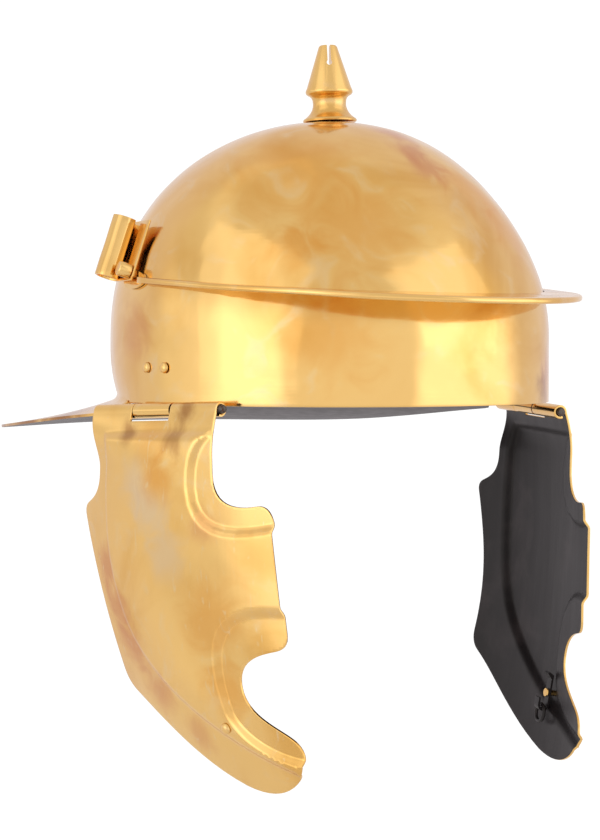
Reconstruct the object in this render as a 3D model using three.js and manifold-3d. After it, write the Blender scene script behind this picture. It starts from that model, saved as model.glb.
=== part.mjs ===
// A first-century Roman legionary helmet in sheet brass: bowl with neck guard, crest knob, brow peak,
// side plume tubes and two hinged cheek guards.
// Millimetres. +Z up, the face looks along -Y, the wearer's left is +X.
// The origin is the middle of the head opening, in the plane of the bowl's rim.
import * as THREE from "three";
import { mergeVertices } from "three/addons/utils/BufferGeometryUtils.js";
import Module from "manifold-3d";

const wasm = await Module();
wasm.setup();

// ---- Driving dimensions ----

const GAP = 0.3; // clearance between neighbouring pieces
const DEG = Math.PI / 180;

const BOWL = {
  halfWidth: 103,
  halfLength: 116.5,
  height: 134,
  bandHeight: 30, // upright band below the dome
  wall: 1.4,
  crownPower: 2.15, // 2 would be an ellipsoid
  napeTuck: 0.03, // share by which the nape narrows at the rim
  tuckHeight: 25,
  tuckReach: 60,
  browDraw: 0.065, // share by which the front is drawn in at the band
  crownDraw: 0.15, // and how much more towards the crown
  crownDrawTop: 120,
  drawFrom: -20, // distances forward between which the drawing in sets in
  drawFull: 50,
};

const NECK_GUARD = {
  thickness: 1.4,
  rootHeight: 0.5, // of the sheet's middle where it leaves the bowl
  fall: 39.7, // drop for each bowl radius outwards, at the bowl
  flattening: 1.07, // how fast the drop eases outwards
  frontEnd: 16, // where it starts, behind the middle
  halfWidth: 118,
  rearEdge: 186,
  sheetCells: [20, 12],
};

const KNOB = {
  tipHeight: 37.2, // above the crown
  tipRadius: 4.15,
  coneRadius: 11.4,
  neckRadius: 8,
  baseRadius: 13,
  leanDeg: 2,
  leanRoom: 0.4, // lets the leaning knob clear the crown
  shankRadius: 2.5,
  slotWidth: 1.6,
  slotDepth: 8.7,
  slotHole: 1.3,
  slotBearingDeg: -29,
  innerHeadRadius: 4.5,
  innerHeadHeight: 1.5,
};

const PEAK = {
  halfWidth: 105,
  reach: 140,
  thickness: 2.8,
  sideHeight: 56.6,
  slopeDeg: 4.44,
  lugThickness: 1.3,
  lugRear: 24,
  lugHalfHeight: 4,
  tailRear: 12, // where the plate's tapered end stops
};

const TUBE = {
  radius: 6,
  wall: 1,
  length: 29.5,
  tailLength: 20,
  behind: 30, // its place behind the middle
  offside: 105.3, // its lower end, from the middle plane
  height: 58.5,
  leanDeg: 18.4,
  toeDeg: 9.2,
};

const HINGE = {
  offside: 106.5,
  forward: 22,
  toeInDeg: 16.5,
  halfLength: 38.5,
  pinRadius: 1.95,
  boreRadius: 2.25,
  rollRadius: 3.4,
  pinProud: 1.8,
  windowStart: -13.5,
  windowEnd: 10,
  windowDepth: 4.7, // below the pin's axis
};

// Each guard hangs and is dished a little differently, as hand-fitted ones are.
// bowMiddle is where its curve round the cheek stands out most; chinIn is how far the chin curves in.
const HANG = {
  right: { height: -2.4, tiltDeg: 2.2, bowMiddle: 21, chinIn: 17.5 },
  left: { height: -4.3, tiltDeg: -1.9, bowMiddle: 14, chinIn: 12 },
};

const LEAF = {
  thickness: 1.2,
  width: 24,
  forward: 13, // the leg's middle on the bowl
  top: 24,
  rimClearance: 0.4,
  rivetForward: [5, 19],
  rivetHeight: 16.7,
  stand: 0.75, // room for the band's curve behind the flat leg
  gripSlack: 1.15,
};

const GUARD = {
  thickness: 1.2,
  shoulder: 22, // depth at which the sheet stands furthest out
  shoulderOut: 7.5,
  chinDepth: 164,
  chinPower: 2.2,
  bow: 0.0024, // curvature round the cheek, per mm
  bowDrift: 0.0036,
  driftFrom: 50,
  bowFade: 25,
  fieldRise: 2.3, // height of the raised field over the margins
  fieldEdge: 3, // half width of the step round it
  blank: { rear: -59, width: 136, depth: 172, rise: 0.3, cells: [17, 22] },
};

const RIVET = { headRadius: 2.5, headHeight: 1.6, shankRadius: 1.4, tailRadius: 2.2, tailHeight: 0.8 };
const STUD = { radius: 3.5, height: 6, shankRadius: 2, along: 16, up: 4 };
const TIE = {
  across: 34.5,
  down: 139.5,
  stripWidth: 4.5,
  stripThickness: 1,
  foldRadius: 2,
  ringRadius: 4.2,
  wireRadius: 0.9,
  foldDrop: -6, // the fold's middle, below the rivet
  hookEnd: -2.6,
  stripTop: 9,
  lip: 2.4, // how far the strip's top is bent away
};

const ROUND = { bowl: 52, crownSteps: 9, knob: 24, tube: 20, roll: 16, rivet: 10 };
const THROUGH = 60; // longer than any sheet it cuts is deep

// ---- Finishes ----

const finish = (color, roughness, metalness) =>
  new THREE.MeshStandardMaterial({ color, roughness, metalness });
const BRASS = finish(0xd9a94e, 0.22, 1);
const TURNED_BRASS = finish(0xcf9c42, 0.18, 1);
const PAINTED = finish(0x393235, 0.45, 0.3);
const STEEL = finish(0x5b5652, 0.5, 1);

// ---- Solids ----

/** A closed geometry as a solid that can be joined and cut. */
function solidOf(geometry) {
  const bare = geometry.clone();
  bare.deleteAttribute("normal");
  bare.deleteAttribute("uv");
  const merged = mergeVertices(bare, 1e-4);
  return new wasm.Manifold(
    new wasm.Mesh({
      numProp: 3,
      vertProperties: new Float32Array(merged.attributes.position.array),
      triVerts: new Uint32Array(merged.index.array),
    }),
  );
}

/** A solid as a geometry, mirrored to the right-hand side when asked. */
function geometryOf(solid, mirror = false) {
  const mesh = solid.getMesh();
  const positions = [];
  for (let i = 0; i < mesh.vertProperties.length; i += mesh.numProp) {
    positions.push(...mesh.vertProperties.subarray(i, i + 3));
  }
  const geometry = new THREE.BufferGeometry();
  geometry.setAttribute("position", new THREE.Float32BufferAttribute(positions, 3));
  geometry.setIndex([...mesh.triVerts]);
  return mirror ? mirrored(geometry) : geometry;
}

/** The same shape on the other side of the middle plane. */
function mirrored(geometry) {
  geometry.scale(-1, 1, 1);
  const index = geometry.index.array;
  for (let i = 0; i < index.length; i += 3) {
    [index[i + 1], index[i + 2]] = [index[i + 2], index[i + 1]];
  }
  return geometry;
}

/** Moves every vertex of a geometry by a function of its place. */
function bend(geometry, move) {
  const place = geometry.attributes.position;
  const v = new THREE.Vector3();
  for (let i = 0; i < place.count; i++) {
    v.fromBufferAttribute(place, i);
    move(v);
    place.setXYZ(i, v.x, v.y, v.z);
  }
  return geometry;
}

/** A solid turned round Z from a profile of [radius, height] pairs. */
function turned(profile, segments) {
  const points = profile.map(([radius, height]) => new THREE.Vector2(radius, height));
  return new THREE.LatheGeometry(points, segments).rotateX(Math.PI / 2);
}

/** A plan outline raised from one height to another. */
function raised(shape, from, to, curveSegments = 8) {
  const settings = { depth: to - from, bevelEnabled: false, curveSegments };
  return new THREE.ExtrudeGeometry(shape, settings).translate(0, 0, from);
}

/** Places a geometry made in local axes at a point of the helmet. */
function placed(geometry, origin, x, y, z) {
  const matrix = new THREE.Matrix4().makeBasis(x, y, z);
  matrix.setPosition(origin);
  return geometry.applyMatrix4(matrix);
}

/** A cylinder along a direction, from one distance to another. */
function rod(radius, origin, along, from, to, segments) {
  const geometry = new THREE.CylinderGeometry(radius, radius, to - from, segments);
  geometry.translate(0, (from + to) / 2, 0);
  const turn = new THREE.Quaternion().setFromUnitVectors(new THREE.Vector3(0, 1, 0), along);
  return geometry.applyQuaternion(turn).translate(origin.x, origin.y, origin.z);
}

const smooth = (x, low, high) => THREE.MathUtils.smoothstep(x, low, high);

// ---- Bowl ----

/** Share of the bowl's full radius at a height of its outside, for a crown raised by offset. */
function bowlShare(height, offset) {
  const rise = (height - BOWL.bandHeight) / (BOWL.height - BOWL.bandHeight + offset);
  if (rise <= 0) return 1;
  return Math.max(0, 1 - rise ** BOWL.crownPower) ** (1 / BOWL.crownPower);
}

/** How far the nape is drawn in, as a share of the radius. */
function napeTuck(y, z) {
  const low = Math.max(0, 1 - Math.max(z, 0) / BOWL.tuckHeight);
  return BOWL.napeTuck * smooth(y, 0, BOWL.tuckReach) * low * low;
}

/** How far the front is drawn in towards the middle, as a share of its length. */
function frontDraw(y, z) {
  const most = BOWL.browDraw + BOWL.crownDraw * smooth(z, BOWL.bandHeight, BOWL.crownDrawTop);
  return most * smooth(-y, BOWL.drawFrom, BOWL.drawFull);
}

/** The filled dome whose outside lies an offset away from the bowl's outside. */
function dome(offset, bottom) {
  const profile = [[0, bottom]];
  for (const height of [bottom, 9, BOWL.tuckHeight, BOWL.bandHeight]) profile.push([1, height]);
  for (let i = 1; i < ROUND.crownSteps; i++) {
    const angle = (i / ROUND.crownSteps) * (Math.PI / 2);
    const rise = Math.sin(angle) ** (2 / BOWL.crownPower);
    const radius = Math.cos(angle) ** (2 / BOWL.crownPower);
    profile.push([radius, BOWL.bandHeight + rise * (BOWL.height - BOWL.bandHeight + offset)]);
  }
  profile.push([0, BOWL.height + offset]);
  const geometry = turned(profile, ROUND.bowl);
  geometry.scale(BOWL.halfWidth + offset, BOWL.halfLength + offset, 1);
  bend(geometry, (v) => {
    const share = 1 - napeTuck(v.y, v.z);
    v.x *= share;
    v.y *= share * (1 - frontDraw(v.y, v.z));
  });
  return solidOf(geometry);
}

/** Plan outline of the neck guard, squarish with round corners. */
function neckGuardPlan() {
  const { frontEnd, halfWidth, rearEdge } = NECK_GUARD;
  const side = new THREE.Path();
  side.moveTo(halfWidth - 11, frontEnd);
  side.quadraticCurveTo(halfWidth - 2, frontEnd + 1, halfWidth - 1, frontEnd + 12);
  side.bezierCurveTo(halfWidth + 1.5, 62, halfWidth + 0.5, 104, halfWidth - 5, 130);
  side.bezierCurveTo(107, 156, 92, 172, 66, rearEdge - 7);
  side.bezierCurveTo(44, rearEdge - 1.5, 20, rearEdge, 0, rearEdge);
  const half = side.getPoints(7);
  const other = half.slice(0, -1).reverse().map((p) => new THREE.Vector2(-p.x, p.y));
  return new THREE.Shape([...half, ...other]);
}

/** The sloping sheet that the neck guard is cut from. */
function neckGuardSheet() {
  const { thickness, rootHeight, fall, flattening, frontEnd, halfWidth, rearEdge } = NECK_GUARD;
  const spare = 4;
  const width = 2 * (halfWidth + spare);
  const length = rearEdge - frontEnd + 2 * spare;
  const sheet = new THREE.BoxGeometry(width, length, thickness, ...NECK_GUARD.sheetCells, 1);
  sheet.translate(0, frontEnd - spare + length / 2, 0);
  return bend(sheet, (v) => {
    const radii = Math.hypot(v.x / BOWL.halfWidth, v.y / BOWL.halfLength);
    const beyond = Math.max(radii - 1 + BOWL.napeTuck, -0.3);
    v.z += rootHeight - (fall * beyond) / (1 + flattening * beyond);
  });
}

const inside = dome(-BOWL.wall, -12);
const neckGuardCutter = solidOf(raised(neckGuardPlan(), -THROUGH, THROUGH, 1));
const neckGuard = solidOf(neckGuardSheet()).intersect(neckGuardCutter);
let bowl = dome(0, 0).add(neckGuard).subtract(inside);

/** Point and outward direction on the bowl's band, a distance forward of the middle. */
function bandPlace(forward, height, offset = 0) {
  const y = -forward;
  const halfWidth = BOWL.halfWidth + offset;
  const halfLength = BOWL.halfLength + offset;
  const x = halfWidth * Math.sqrt(1 - (y / halfLength) ** 2);
  const outward = new THREE.Vector3(x / halfWidth ** 2, y / halfLength ** 2, 0).normalize();
  return { point: new THREE.Vector3(x, y, height), outward };
}

/** Distance from a point inwards to the bowl's outside, along a direction. */
function reachToBowl(origin, inward) {
  let near = 0;
  let far = 20;
  for (let i = 0; i < 30; i++) {
    const middle = (near + far) / 2;
    const p = origin.clone().addScaledVector(inward, middle);
    const share = bowlShare(p.z, 0);
    const radii = Math.hypot(p.x / BOWL.halfWidth, p.y / BOWL.halfLength);
    if (radii > share) near = middle;
    else far = middle;
  }
  return near;
}

// ---- Crest knob ----

/** The turned knob, its shank and inner head, slotted to take a crest fork. */
function crestKnob() {
  const { tipHeight, tipRadius, coneRadius, neckRadius, baseRadius, shankRadius } = KNOB;
  const foot = GAP + KNOB.leanRoom;
  const under = -BOWL.wall - GAP - KNOB.leanRoom;
  const { innerHeadRadius, innerHeadHeight } = KNOB;
  const profile = [
    [0, under - innerHeadHeight],
    [innerHeadRadius, under - innerHeadHeight],
    [innerHeadRadius, under],
    [shankRadius, under],
    [shankRadius, foot],
    [baseRadius - 0.8, foot],
    [baseRadius, foot + 0.9],
    [baseRadius - 0.6, foot + 1.8],
    [neckRadius + 2.2, foot + 3.8],
    [neckRadius + 0.6, foot + 6],
    [neckRadius, foot + 8.5],
    [neckRadius + 0.3, foot + 11],
    [neckRadius + 1.4, foot + 12.6],
    [coneRadius - 0.5, foot + 13.4],
    [coneRadius, foot + 14.4],
    [coneRadius - 0.4, foot + 15.8],
    [tipRadius + 0.5, tipHeight - 0.9],
    [tipRadius - 0.1, tipHeight],
    [0, tipHeight],
  ];
  const knob = solidOf(turned(profile, ROUND.knob));
  const slot = new THREE.BoxGeometry(KNOB.slotWidth, 4 * tipRadius, KNOB.slotDepth);
  slot.translate(0, 0, tipHeight + 1 - KNOB.slotDepth / 2);
  const hole = new THREE.CylinderGeometry(KNOB.slotHole, KNOB.slotHole, 5 * tipRadius, 12);
  hole.translate(0, 0, tipHeight + 1 - KNOB.slotDepth);
  const bearing = KNOB.slotBearingDeg * DEG;
  return knob
    .subtract(solidOf(slot.rotateZ(bearing)))
    .subtract(solidOf(hole.rotateZ(bearing)));
}

const crown = new THREE.Vector3(0, 0, BOWL.height);
const knobGeometry = geometryOf(crestKnob());
knobGeometry.rotateY(-KNOB.leanDeg * DEG).translate(crown.x, crown.y, crown.z);
const knobHole = rod(
  KNOB.shankRadius + 2 * GAP, crown, new THREE.Vector3(0, 0, 1), -8, 8, ROUND.tube,
);
bowl = bowl.subtract(solidOf(knobHole));

// ---- Brow peak ----

/** The crescent plate with a lug at each end, lying against the bowl. */
function browPeak() {
  const { halfWidth, reach, thickness, sideHeight, slopeDeg, lugThickness, lugRear } = PEAK;
  const { lugHalfHeight, tailRear } = PEAK;
  const outline = new THREE.Shape();
  outline.moveTo(halfWidth - 4, tailRear);
  outline.lineTo(halfWidth - 3, tailRear - 3);
  outline.lineTo(halfWidth, 0);
  outline.absellipse(0, 0, halfWidth, reach, 0, -Math.PI, true);
  outline.lineTo(-halfWidth + 3, tailRear - 3);
  outline.lineTo(-halfWidth + 4, tailRear);
  const plate = raised(outline, -thickness / 2, thickness / 2, 40);
  plate.rotateX(slopeDeg * DEG).translate(0, 0, sideHeight);
  const lugFace = new THREE.Shape();
  lugFace.absellipse(lugRear / 2, 0, lugRear / 2, lugHalfHeight, 0, 2 * Math.PI);
  const lugs = raised(lugFace, -halfWidth - 20, halfWidth + 20, 6);
  const across = new THREE.Vector3(1, 0, 0);
  const rearwards = new THREE.Vector3(0, 1, 0);
  const up = new THREE.Vector3(0, 0, 1);
  placed(lugs, new THREE.Vector3(0, 0, sideHeight + 0.4), rearwards, up, across);
  const clear = dome(GAP, -1);
  const skin = dome(GAP + lugThickness, -1);
  return solidOf(plate).add(solidOf(lugs).intersect(skin)).subtract(clear);
}

let peak = browPeak();

// ---- Plume tubes ----

const tubeLean = TUBE.leanDeg * DEG;
const tubeToe = TUBE.toeDeg * DEG;
const tubeForward = new THREE.Vector3(Math.sin(tubeToe), -Math.cos(tubeToe), 0);
const tubeUp = new THREE.Vector3(
  -Math.sin(tubeLean) * Math.cos(tubeToe),
  -Math.sin(tubeLean) * Math.sin(tubeToe),
  Math.cos(tubeLean),
);
const tubeOut = new THREE.Vector3().crossVectors(tubeForward, tubeUp).negate();
const tubeFoot = new THREE.Vector3(TUBE.offside, TUBE.behind, TUBE.height);

/** A sheet rolled into an open tube, its flat tail running forward along the bowl. */
function plumeTube() {
  const { radius, wall, length, tailLength } = TUBE;
  const section = new THREE.Shape();
  section.moveTo(0, -radius);
  section.lineTo(tailLength, -radius);
  section.lineTo(tailLength, -radius + wall);
  section.lineTo(Math.sqrt(radius ** 2 - (radius - wall) ** 2), -radius + wall);
  const start = Math.asin(-(radius - wall) / radius);
  section.absarc(0, 0, radius, start, 1.5 * Math.PI, false);
  const bore = new THREE.Path();
  bore.absarc(0, 0, radius - wall, 0, 2 * Math.PI, true);
  section.holes.push(bore);
  const tube = raised(section, 0, length, ROUND.tube);
  return solidOf(placed(tube, tubeFoot, tubeForward, tubeOut, tubeUp));
}

/** Where the stud goes through the tube's tail. */
const studPlace = tubeFoot
  .clone()
  .addScaledVector(tubeForward, STUD.along)
  .addScaledVector(tubeUp, STUD.up)
  .addScaledVector(tubeOut, TUBE.wall - TUBE.radius);
const studIn = tubeOut.clone().negate();
const studReach = reachToBowl(studPlace, studIn) + BOWL.wall + 4 * GAP;

/** The stud: a stout head outside, a shank and a flat head inside the bowl. */
function tubeStud() {
  const head = rod(STUD.radius, studPlace, tubeOut, GAP, GAP + STUD.height, ROUND.knob);
  const shank = rod(STUD.shankRadius, studPlace, tubeOut, -studReach, GAP + 1, ROUND.rivet);
  const tail = rod(STUD.radius, studPlace, tubeOut, -studReach - 1, -studReach, ROUND.rivet);
  return solidOf(head).add(solidOf(shank)).add(solidOf(tail));
}

/** The hole that a stud needs, through the tail, the peak's lug and the bowl. */
const studDrill = () =>
  rod(STUD.shankRadius + GAP, studPlace, tubeOut, -studReach - 2, 5, ROUND.rivet);

const studHole = solidOf(studDrill());
const studHoleRight = solidOf(mirrored(studDrill()));
bowl = bowl.subtract(studHole).subtract(studHoleRight);
peak = peak.subtract(studHole).subtract(studHoleRight);
const tubeSolid = plumeTube().subtract(studHole);

// ---- Rivets ----

/** A domed rivet whose head sits outside and whose tail is closed after the given grip. */
function domedRivet(point, outward, grip) {
  const { headRadius, headHeight, shankRadius, tailRadius, tailHeight } = RIVET;
  const bottom = -grip - GAP;
  const profile = [
    [0, bottom - tailHeight],
    [tailRadius, bottom - tailHeight],
    [tailRadius, bottom],
    [shankRadius, bottom],
    [shankRadius, GAP],
    [headRadius, GAP],
    [headRadius * 0.9, GAP + headHeight * 0.45],
    [headRadius * 0.55, GAP + headHeight * 0.85],
    [0, GAP + headHeight],
  ];
  const rivet = turned(profile, ROUND.rivet);
  const turn = new THREE.Quaternion().setFromUnitVectors(new THREE.Vector3(0, 0, 1), outward);
  return rivet.applyQuaternion(turn).translate(point.x, point.y, point.z);
}

/** The hole that a domed rivet needs. */
const rivetHole = (point, outward) =>
  rod(RIVET.shankRadius + GAP, point, outward, -6, 3, ROUND.rivet);

// ---- Cheek guard outline and form, in the hinge's own axes ----
// across: along the pin, forward positive; down: below the pin; out: away from the cheek.

/** Outline of the guard: ear notch, jaw, chin tip, mouth and eye cut-outs. */
function guardOutline() {
  const end = HINGE.halfLength;
  const outline = new THREE.Shape();
  outline.moveTo(-end, -1);
  outline.lineTo(-40, 26);
  outline.bezierCurveTo(-40.5, 36, -46, 39, -52, 41.5);
  outline.quadraticCurveTo(-57.5, 43.5, -55.5, 49);
  outline.bezierCurveTo(-51.5, 66, -44.5, 88, -42.5, 120);
  outline.quadraticCurveTo(-42, 126.5, -36, 130);
  outline.bezierCurveTo(-18, 140, 4, 158, 36, 166.5);
  outline.bezierCurveTo(56, 171, 68, 165, 73, 156);
  outline.quadraticCurveTo(78, 147.5, 70, 142);
  outline.bezierCurveTo(62, 137, 45.5, 133, 45.5, 120);
  outline.bezierCurveTo(45.5, 109, 56, 106, 66, 104);
  outline.quadraticCurveTo(72.5, 102.5, 71.8, 96);
  outline.lineTo(69, 50);
  outline.quadraticCurveTo(67.5, 41, 61, 41.8);
  outline.bezierCurveTo(50, 43.5, 38.5, 42, 38.3, 28);
  outline.lineTo(end, -1);
  return outline;
}

/** Outline of the raised field, open past the front edge between the eye and the mouth. */
function fieldOutline() {
  const outline = new THREE.Shape();
  outline.moveTo(-29, 11);
  outline.bezierCurveTo(-37, 45, -36, 90, -17, 110);
  outline.bezierCurveTo(0, 130, 35, 147, 72, 157);
  outline.lineTo(76, 152.5);
  outline.bezierCurveTo(52, 150, 40, 140, 37, 133);
  outline.bezierCurveTo(31, 110, 33, 88, 62, 87);
  outline.lineTo(80, 87);
  outline.lineTo(80, 49);
  outline.bezierCurveTo(55, 55, 28, 58, 27, 34);
  outline.quadraticCurveTo(27, 18, 36, 11);
  outline.closePath();
  return outline;
}

const fieldCorners = fieldOutline().getPoints(10);

/** Signed distance from a point to the field's edge, positive inside. */
function depthInField(across, down) {
  let nearest = Infinity;
  let within = false;
  const point = new THREE.Vector2(across, down);
  for (let i = 0; i < fieldCorners.length; i++) {
    const a = fieldCorners[i];
    const b = fieldCorners[(i + 1) % fieldCorners.length];
    const span = b.clone().sub(a);
    const share = point.clone().sub(a).dot(span) / Math.max(span.lengthSq(), 1e-9);
    const foot = a.clone().addScaledVector(span, THREE.MathUtils.clamp(share, 0, 1));
    nearest = Math.min(nearest, foot.distanceTo(point));
    const crosses = a.y > down !== b.y > down;
    if (crosses && across < a.x + ((down - a.y) / (b.y - a.y)) * (b.x - a.x)) within = !within;
  }
  return within ? nearest : -nearest;
}

/** How far the middle of the sheet stands out from the pin's axis, for one way of dishing it. */
function guardOut(hang, across, down) {
  const { shoulder, shoulderOut, chinDepth, chinPower, bow, fieldRise, fieldEdge } = GUARD;
  const start = HINGE.rollRadius - GUARD.thickness / 2;
  const depth = Math.max(down, 0);
  let out;
  if (depth < shoulder) {
    out = start + (shoulderOut - start) * Math.sin((Math.PI / 2) * (depth / shoulder));
  } else {
    const fall = (depth - shoulder) / (chinDepth - shoulder);
    out = shoulderOut - hang.chinIn * fall ** chinPower;
  }
  const drift = GUARD.bowDrift * Math.max(depth - GUARD.driftFrom, 0) ** 2;
  const fromMiddle = across - hang.bowMiddle - drift;
  out -= smooth(depth, 0, GUARD.bowFade) * bow * fromMiddle ** 2;
  return out + fieldRise * smooth(depthInField(across, down), -fieldEdge, fieldEdge);
}

/** The pressed sheet of a guard with its roll, in the hinge's axes (across, out, up). */
function guardBlank(hang) {
  const { rear, width, depth, rise, cells } = GUARD.blank;
  const sheet = new THREE.BoxGeometry(width, GUARD.thickness, depth, cells[0], 1, cells[1]);
  sheet.translate(rear + width / 2, 0, rise - depth / 2);
  bend(sheet, (v) => {
    v.y += guardOut(hang, v.x, -v.z);
  });
  // The outline is drawn across and down; the turn stands it up, across and out.
  const cutter = raised(guardOutline(), -THROUGH, THROUGH, 5).rotateX(-Math.PI / 2);
  const { halfLength, rollRadius, windowStart, windowEnd, windowDepth } = HINGE;
  const roll = rollRing(-halfLength, halfLength);
  const windowTop = rollRadius + 1;
  const window = new THREE.BoxGeometry(
    windowEnd - windowStart, 3 * rollRadius, windowTop + windowDepth,
  );
  window.translate((windowEnd + windowStart) / 2, 0, (windowTop - windowDepth) / 2);
  return solidOf(sheet)
    .intersect(solidOf(cutter))
    .add(roll)
    .subtract(solidOf(window));
}

/** A length of rolled sheet round the pin. */
function rollRing(from, to) {
  const ring = new THREE.Shape();
  ring.absarc(0, 0, HINGE.rollRadius, 0, 2 * Math.PI, false);
  const bore = new THREE.Path();
  bore.absarc(0, 0, HINGE.boreRadius, 0, 2 * Math.PI, true);
  ring.holes.push(bore);
  const roll = raised(ring, from, to, ROUND.roll);
  return solidOf(roll.rotateY(Math.PI / 2));
}

// ---- Tie fitting inside the chin of each guard ----

/** The tie's place on the guard's outside, with the outward, upward and crosswise directions. */
function tieFrame(hang) {
  const step = 1;
  const at = (across, down) => new THREE.Vector3(across, guardOut(hang, across, down), -down);
  const { across, down } = TIE;
  const forward = at(across + step, down).sub(at(across - step, down));
  const upward = at(across, down - step).sub(at(across, down + step));
  const outward = new THREE.Vector3().crossVectors(upward, forward).normalize();
  const point = at(across, down).addScaledVector(outward, GUARD.thickness / 2 + 0.1);
  const up = new THREE.Vector3(0, 0, 1).projectOnPlane(outward).normalize();
  return { point, outward, up, across: new THREE.Vector3().crossVectors(outward, up) };
}

// The strip bridges the groove behind the raised field and rests on the margins beside it.
const tieBack = -GUARD.thickness - GUARD.fieldRise - 2 * GAP;

/** The folded strip that is riveted to the guard and holds the ring, in across, out and up. */
function tieStrip(tie) {
  const { stripWidth, stripThickness, foldRadius, foldDrop, hookEnd, stripTop, lip } = TIE;
  const outer = foldRadius + stripThickness;
  const section = new THREE.Shape();
  section.moveTo(0, stripTop);
  section.lineTo(0, foldDrop);
  section.absarc(-outer, foldDrop, outer, 0, -Math.PI, true);
  section.lineTo(-2 * outer, hookEnd);
  section.lineTo(-2 * outer + stripThickness, hookEnd);
  section.lineTo(-2 * outer + stripThickness, foldDrop);
  section.absarc(-outer, foldDrop, foldRadius, -Math.PI, 0, false);
  section.lineTo(-stripThickness, stripTop - 2);
  section.lineTo(-stripThickness - lip, stripTop + 0.6);
  section.lineTo(-stripThickness - lip + 0.8, stripTop + 1.4);
  section.closePath();
  const strip = raised(section, -stripWidth / 2, stripWidth / 2, 8);
  const origin = tie.point.clone().addScaledVector(tie.outward, tieBack);
  const hole = rod(RIVET.shankRadius + GAP, tie.point, tie.outward, 3 * tieBack, 3, ROUND.rivet);
  return solidOf(placed(strip, origin, tie.outward, tie.up, tie.across)).subtract(solidOf(hole));
}

/** The ring hanging in the strip's fold, lying along the guard. */
function tieRing(tie) {
  const { ringRadius, wireRadius, stripThickness, foldRadius, foldDrop } = TIE;
  const ring = new THREE.TorusGeometry(ringRadius, wireRadius, 8, 20);
  const centre = tie.point
    .clone()
    .addScaledVector(tie.outward, tieBack - foldRadius - stripThickness)
    .addScaledVector(tie.up, foldDrop - ringRadius);
  return solidOf(placed(ring, centre, tie.across.clone().negate(), tie.up, tie.outward));
}

const tieGrip = TIE.stripThickness + GAP - tieBack;

/** A guard and what is fixed to it, in the hinge's axes, as [name, solid, material]. */
function guardPieces(hang) {
  const tie = tieFrame(hang);
  const hole = rod(RIVET.shankRadius + GAP, tie.point, tie.outward, tieBack, 3, ROUND.rivet);
  return [
    ["cheek_guard", guardBlank(hang).subtract(solidOf(hole)), BRASS],
    ["tie_rivet", solidOf(domedRivet(tie.point, tie.outward, tieGrip)), TURNED_BRASS],
    ["tie_strip", tieStrip(tie), PAINTED],
    ["tie_ring", tieRing(tie), PAINTED],
  ];
}

// ---- Hinge leaf, pin and their side of the helmet ----

/** The hinge's place and axes on the left side, for one way of hanging. */
function hingeFrame(hang) {
  const toeIn = HINGE.toeInDeg * DEG;
  const tilt = hang.tiltDeg * DEG;
  const across = new THREE.Vector3(
    -Math.sin(toeIn) * Math.cos(tilt),
    -Math.cos(toeIn) * Math.cos(tilt),
    Math.sin(tilt),
  );
  const out = new THREE.Vector3(Math.cos(toeIn), -Math.sin(toeIn), 0);
  const up = new THREE.Vector3().crossVectors(across, out);
  const origin = new THREE.Vector3(HINGE.offside, -HINGE.forward, hang.height);
  return { origin, across, out, up };
}

const leafLeg = bandPlace(LEAF.forward, 0, -BOWL.wall);
const leafAlong = new THREE.Vector3(leafLeg.outward.y, -leafLeg.outward.x, 0);
const leafRivets = LEAF.rivetForward.map((forward) => bandPlace(forward, LEAF.rivetHeight));
const leafGrip = BOWL.wall + LEAF.thickness + GAP + LEAF.gripSlack;

/** The strap that runs down inside the bowl, out under the rim and round the pin. */
function hingeLeaf(frame, height) {
  const { thickness, width, top, rimClearance, stand } = LEAF;
  const play = GAP + 0.1;
  const from = HINGE.windowStart + play;
  const to = HINGE.windowEnd - play;
  const knuckle = geometryOf(rollRing(from, to));
  placed(knuckle, frame.origin, frame.across, frame.out, frame.up);
  const floorTop = Math.min(-rimClearance, height + HINGE.rollRadius + GAP);
  const floorMiddle = floorTop - thickness / 2 - height;
  const wallMiddle = (HINGE.rollRadius + HINGE.boreRadius) / 2;
  const meet = -Math.sqrt(Math.max(0, wallMiddle ** 2 - floorMiddle ** 2));
  const legFace = leafLeg.point.clone().addScaledVector(leafLeg.outward, -GAP - stand);
  const corner = (along, away) =>
    legFace.clone().addScaledVector(leafAlong, along).addScaledVector(leafLeg.outward, away);
  const atPin = (along, away) =>
    frame.origin.clone().addScaledVector(frame.across, along).addScaledVector(frame.out, away);
  const clearOfRoll = -HINGE.rollRadius - 2 * GAP;
  const corners = [
    atPin(from, clearOfRoll), atPin(from, meet), atPin(to, meet), atPin(to, clearOfRoll),
    corner(width / 2, 0), corner(width / 2, -thickness),
    corner(-width / 2, -thickness), corner(-width / 2, 0),
  ];
  const floorPlan = new THREE.Shape(corners.map((p) => new THREE.Vector2(p.x, p.y)));
  const floor = raised(floorPlan, floorTop - thickness, floorTop, 1);
  const leg = new THREE.BoxGeometry(width, top - floorTop + thickness, thickness);
  leg.translate(0, (top + floorTop - thickness) / 2, -thickness / 2);
  const up = new THREE.Vector3(0, 0, 1);
  const side = new THREE.Vector3().crossVectors(up, leafLeg.outward);
  placed(leg, new THREE.Vector3(legFace.x, legFace.y, 0), side, up, leafLeg.outward);
  let leaf = solidOf(knuckle).add(solidOf(floor)).add(solidOf(leg));
  for (const { point, outward } of leafRivets) {
    leaf = leaf.subtract(solidOf(rivetHole(point, outward)));
  }
  return leaf;
}

for (const { point, outward } of leafRivets) {
  bowl = bowl.subtract(solidOf(rivetHole(point, outward)));
  bowl = bowl.subtract(solidOf(mirrored(rivetHole(point, outward))));
}

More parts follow.
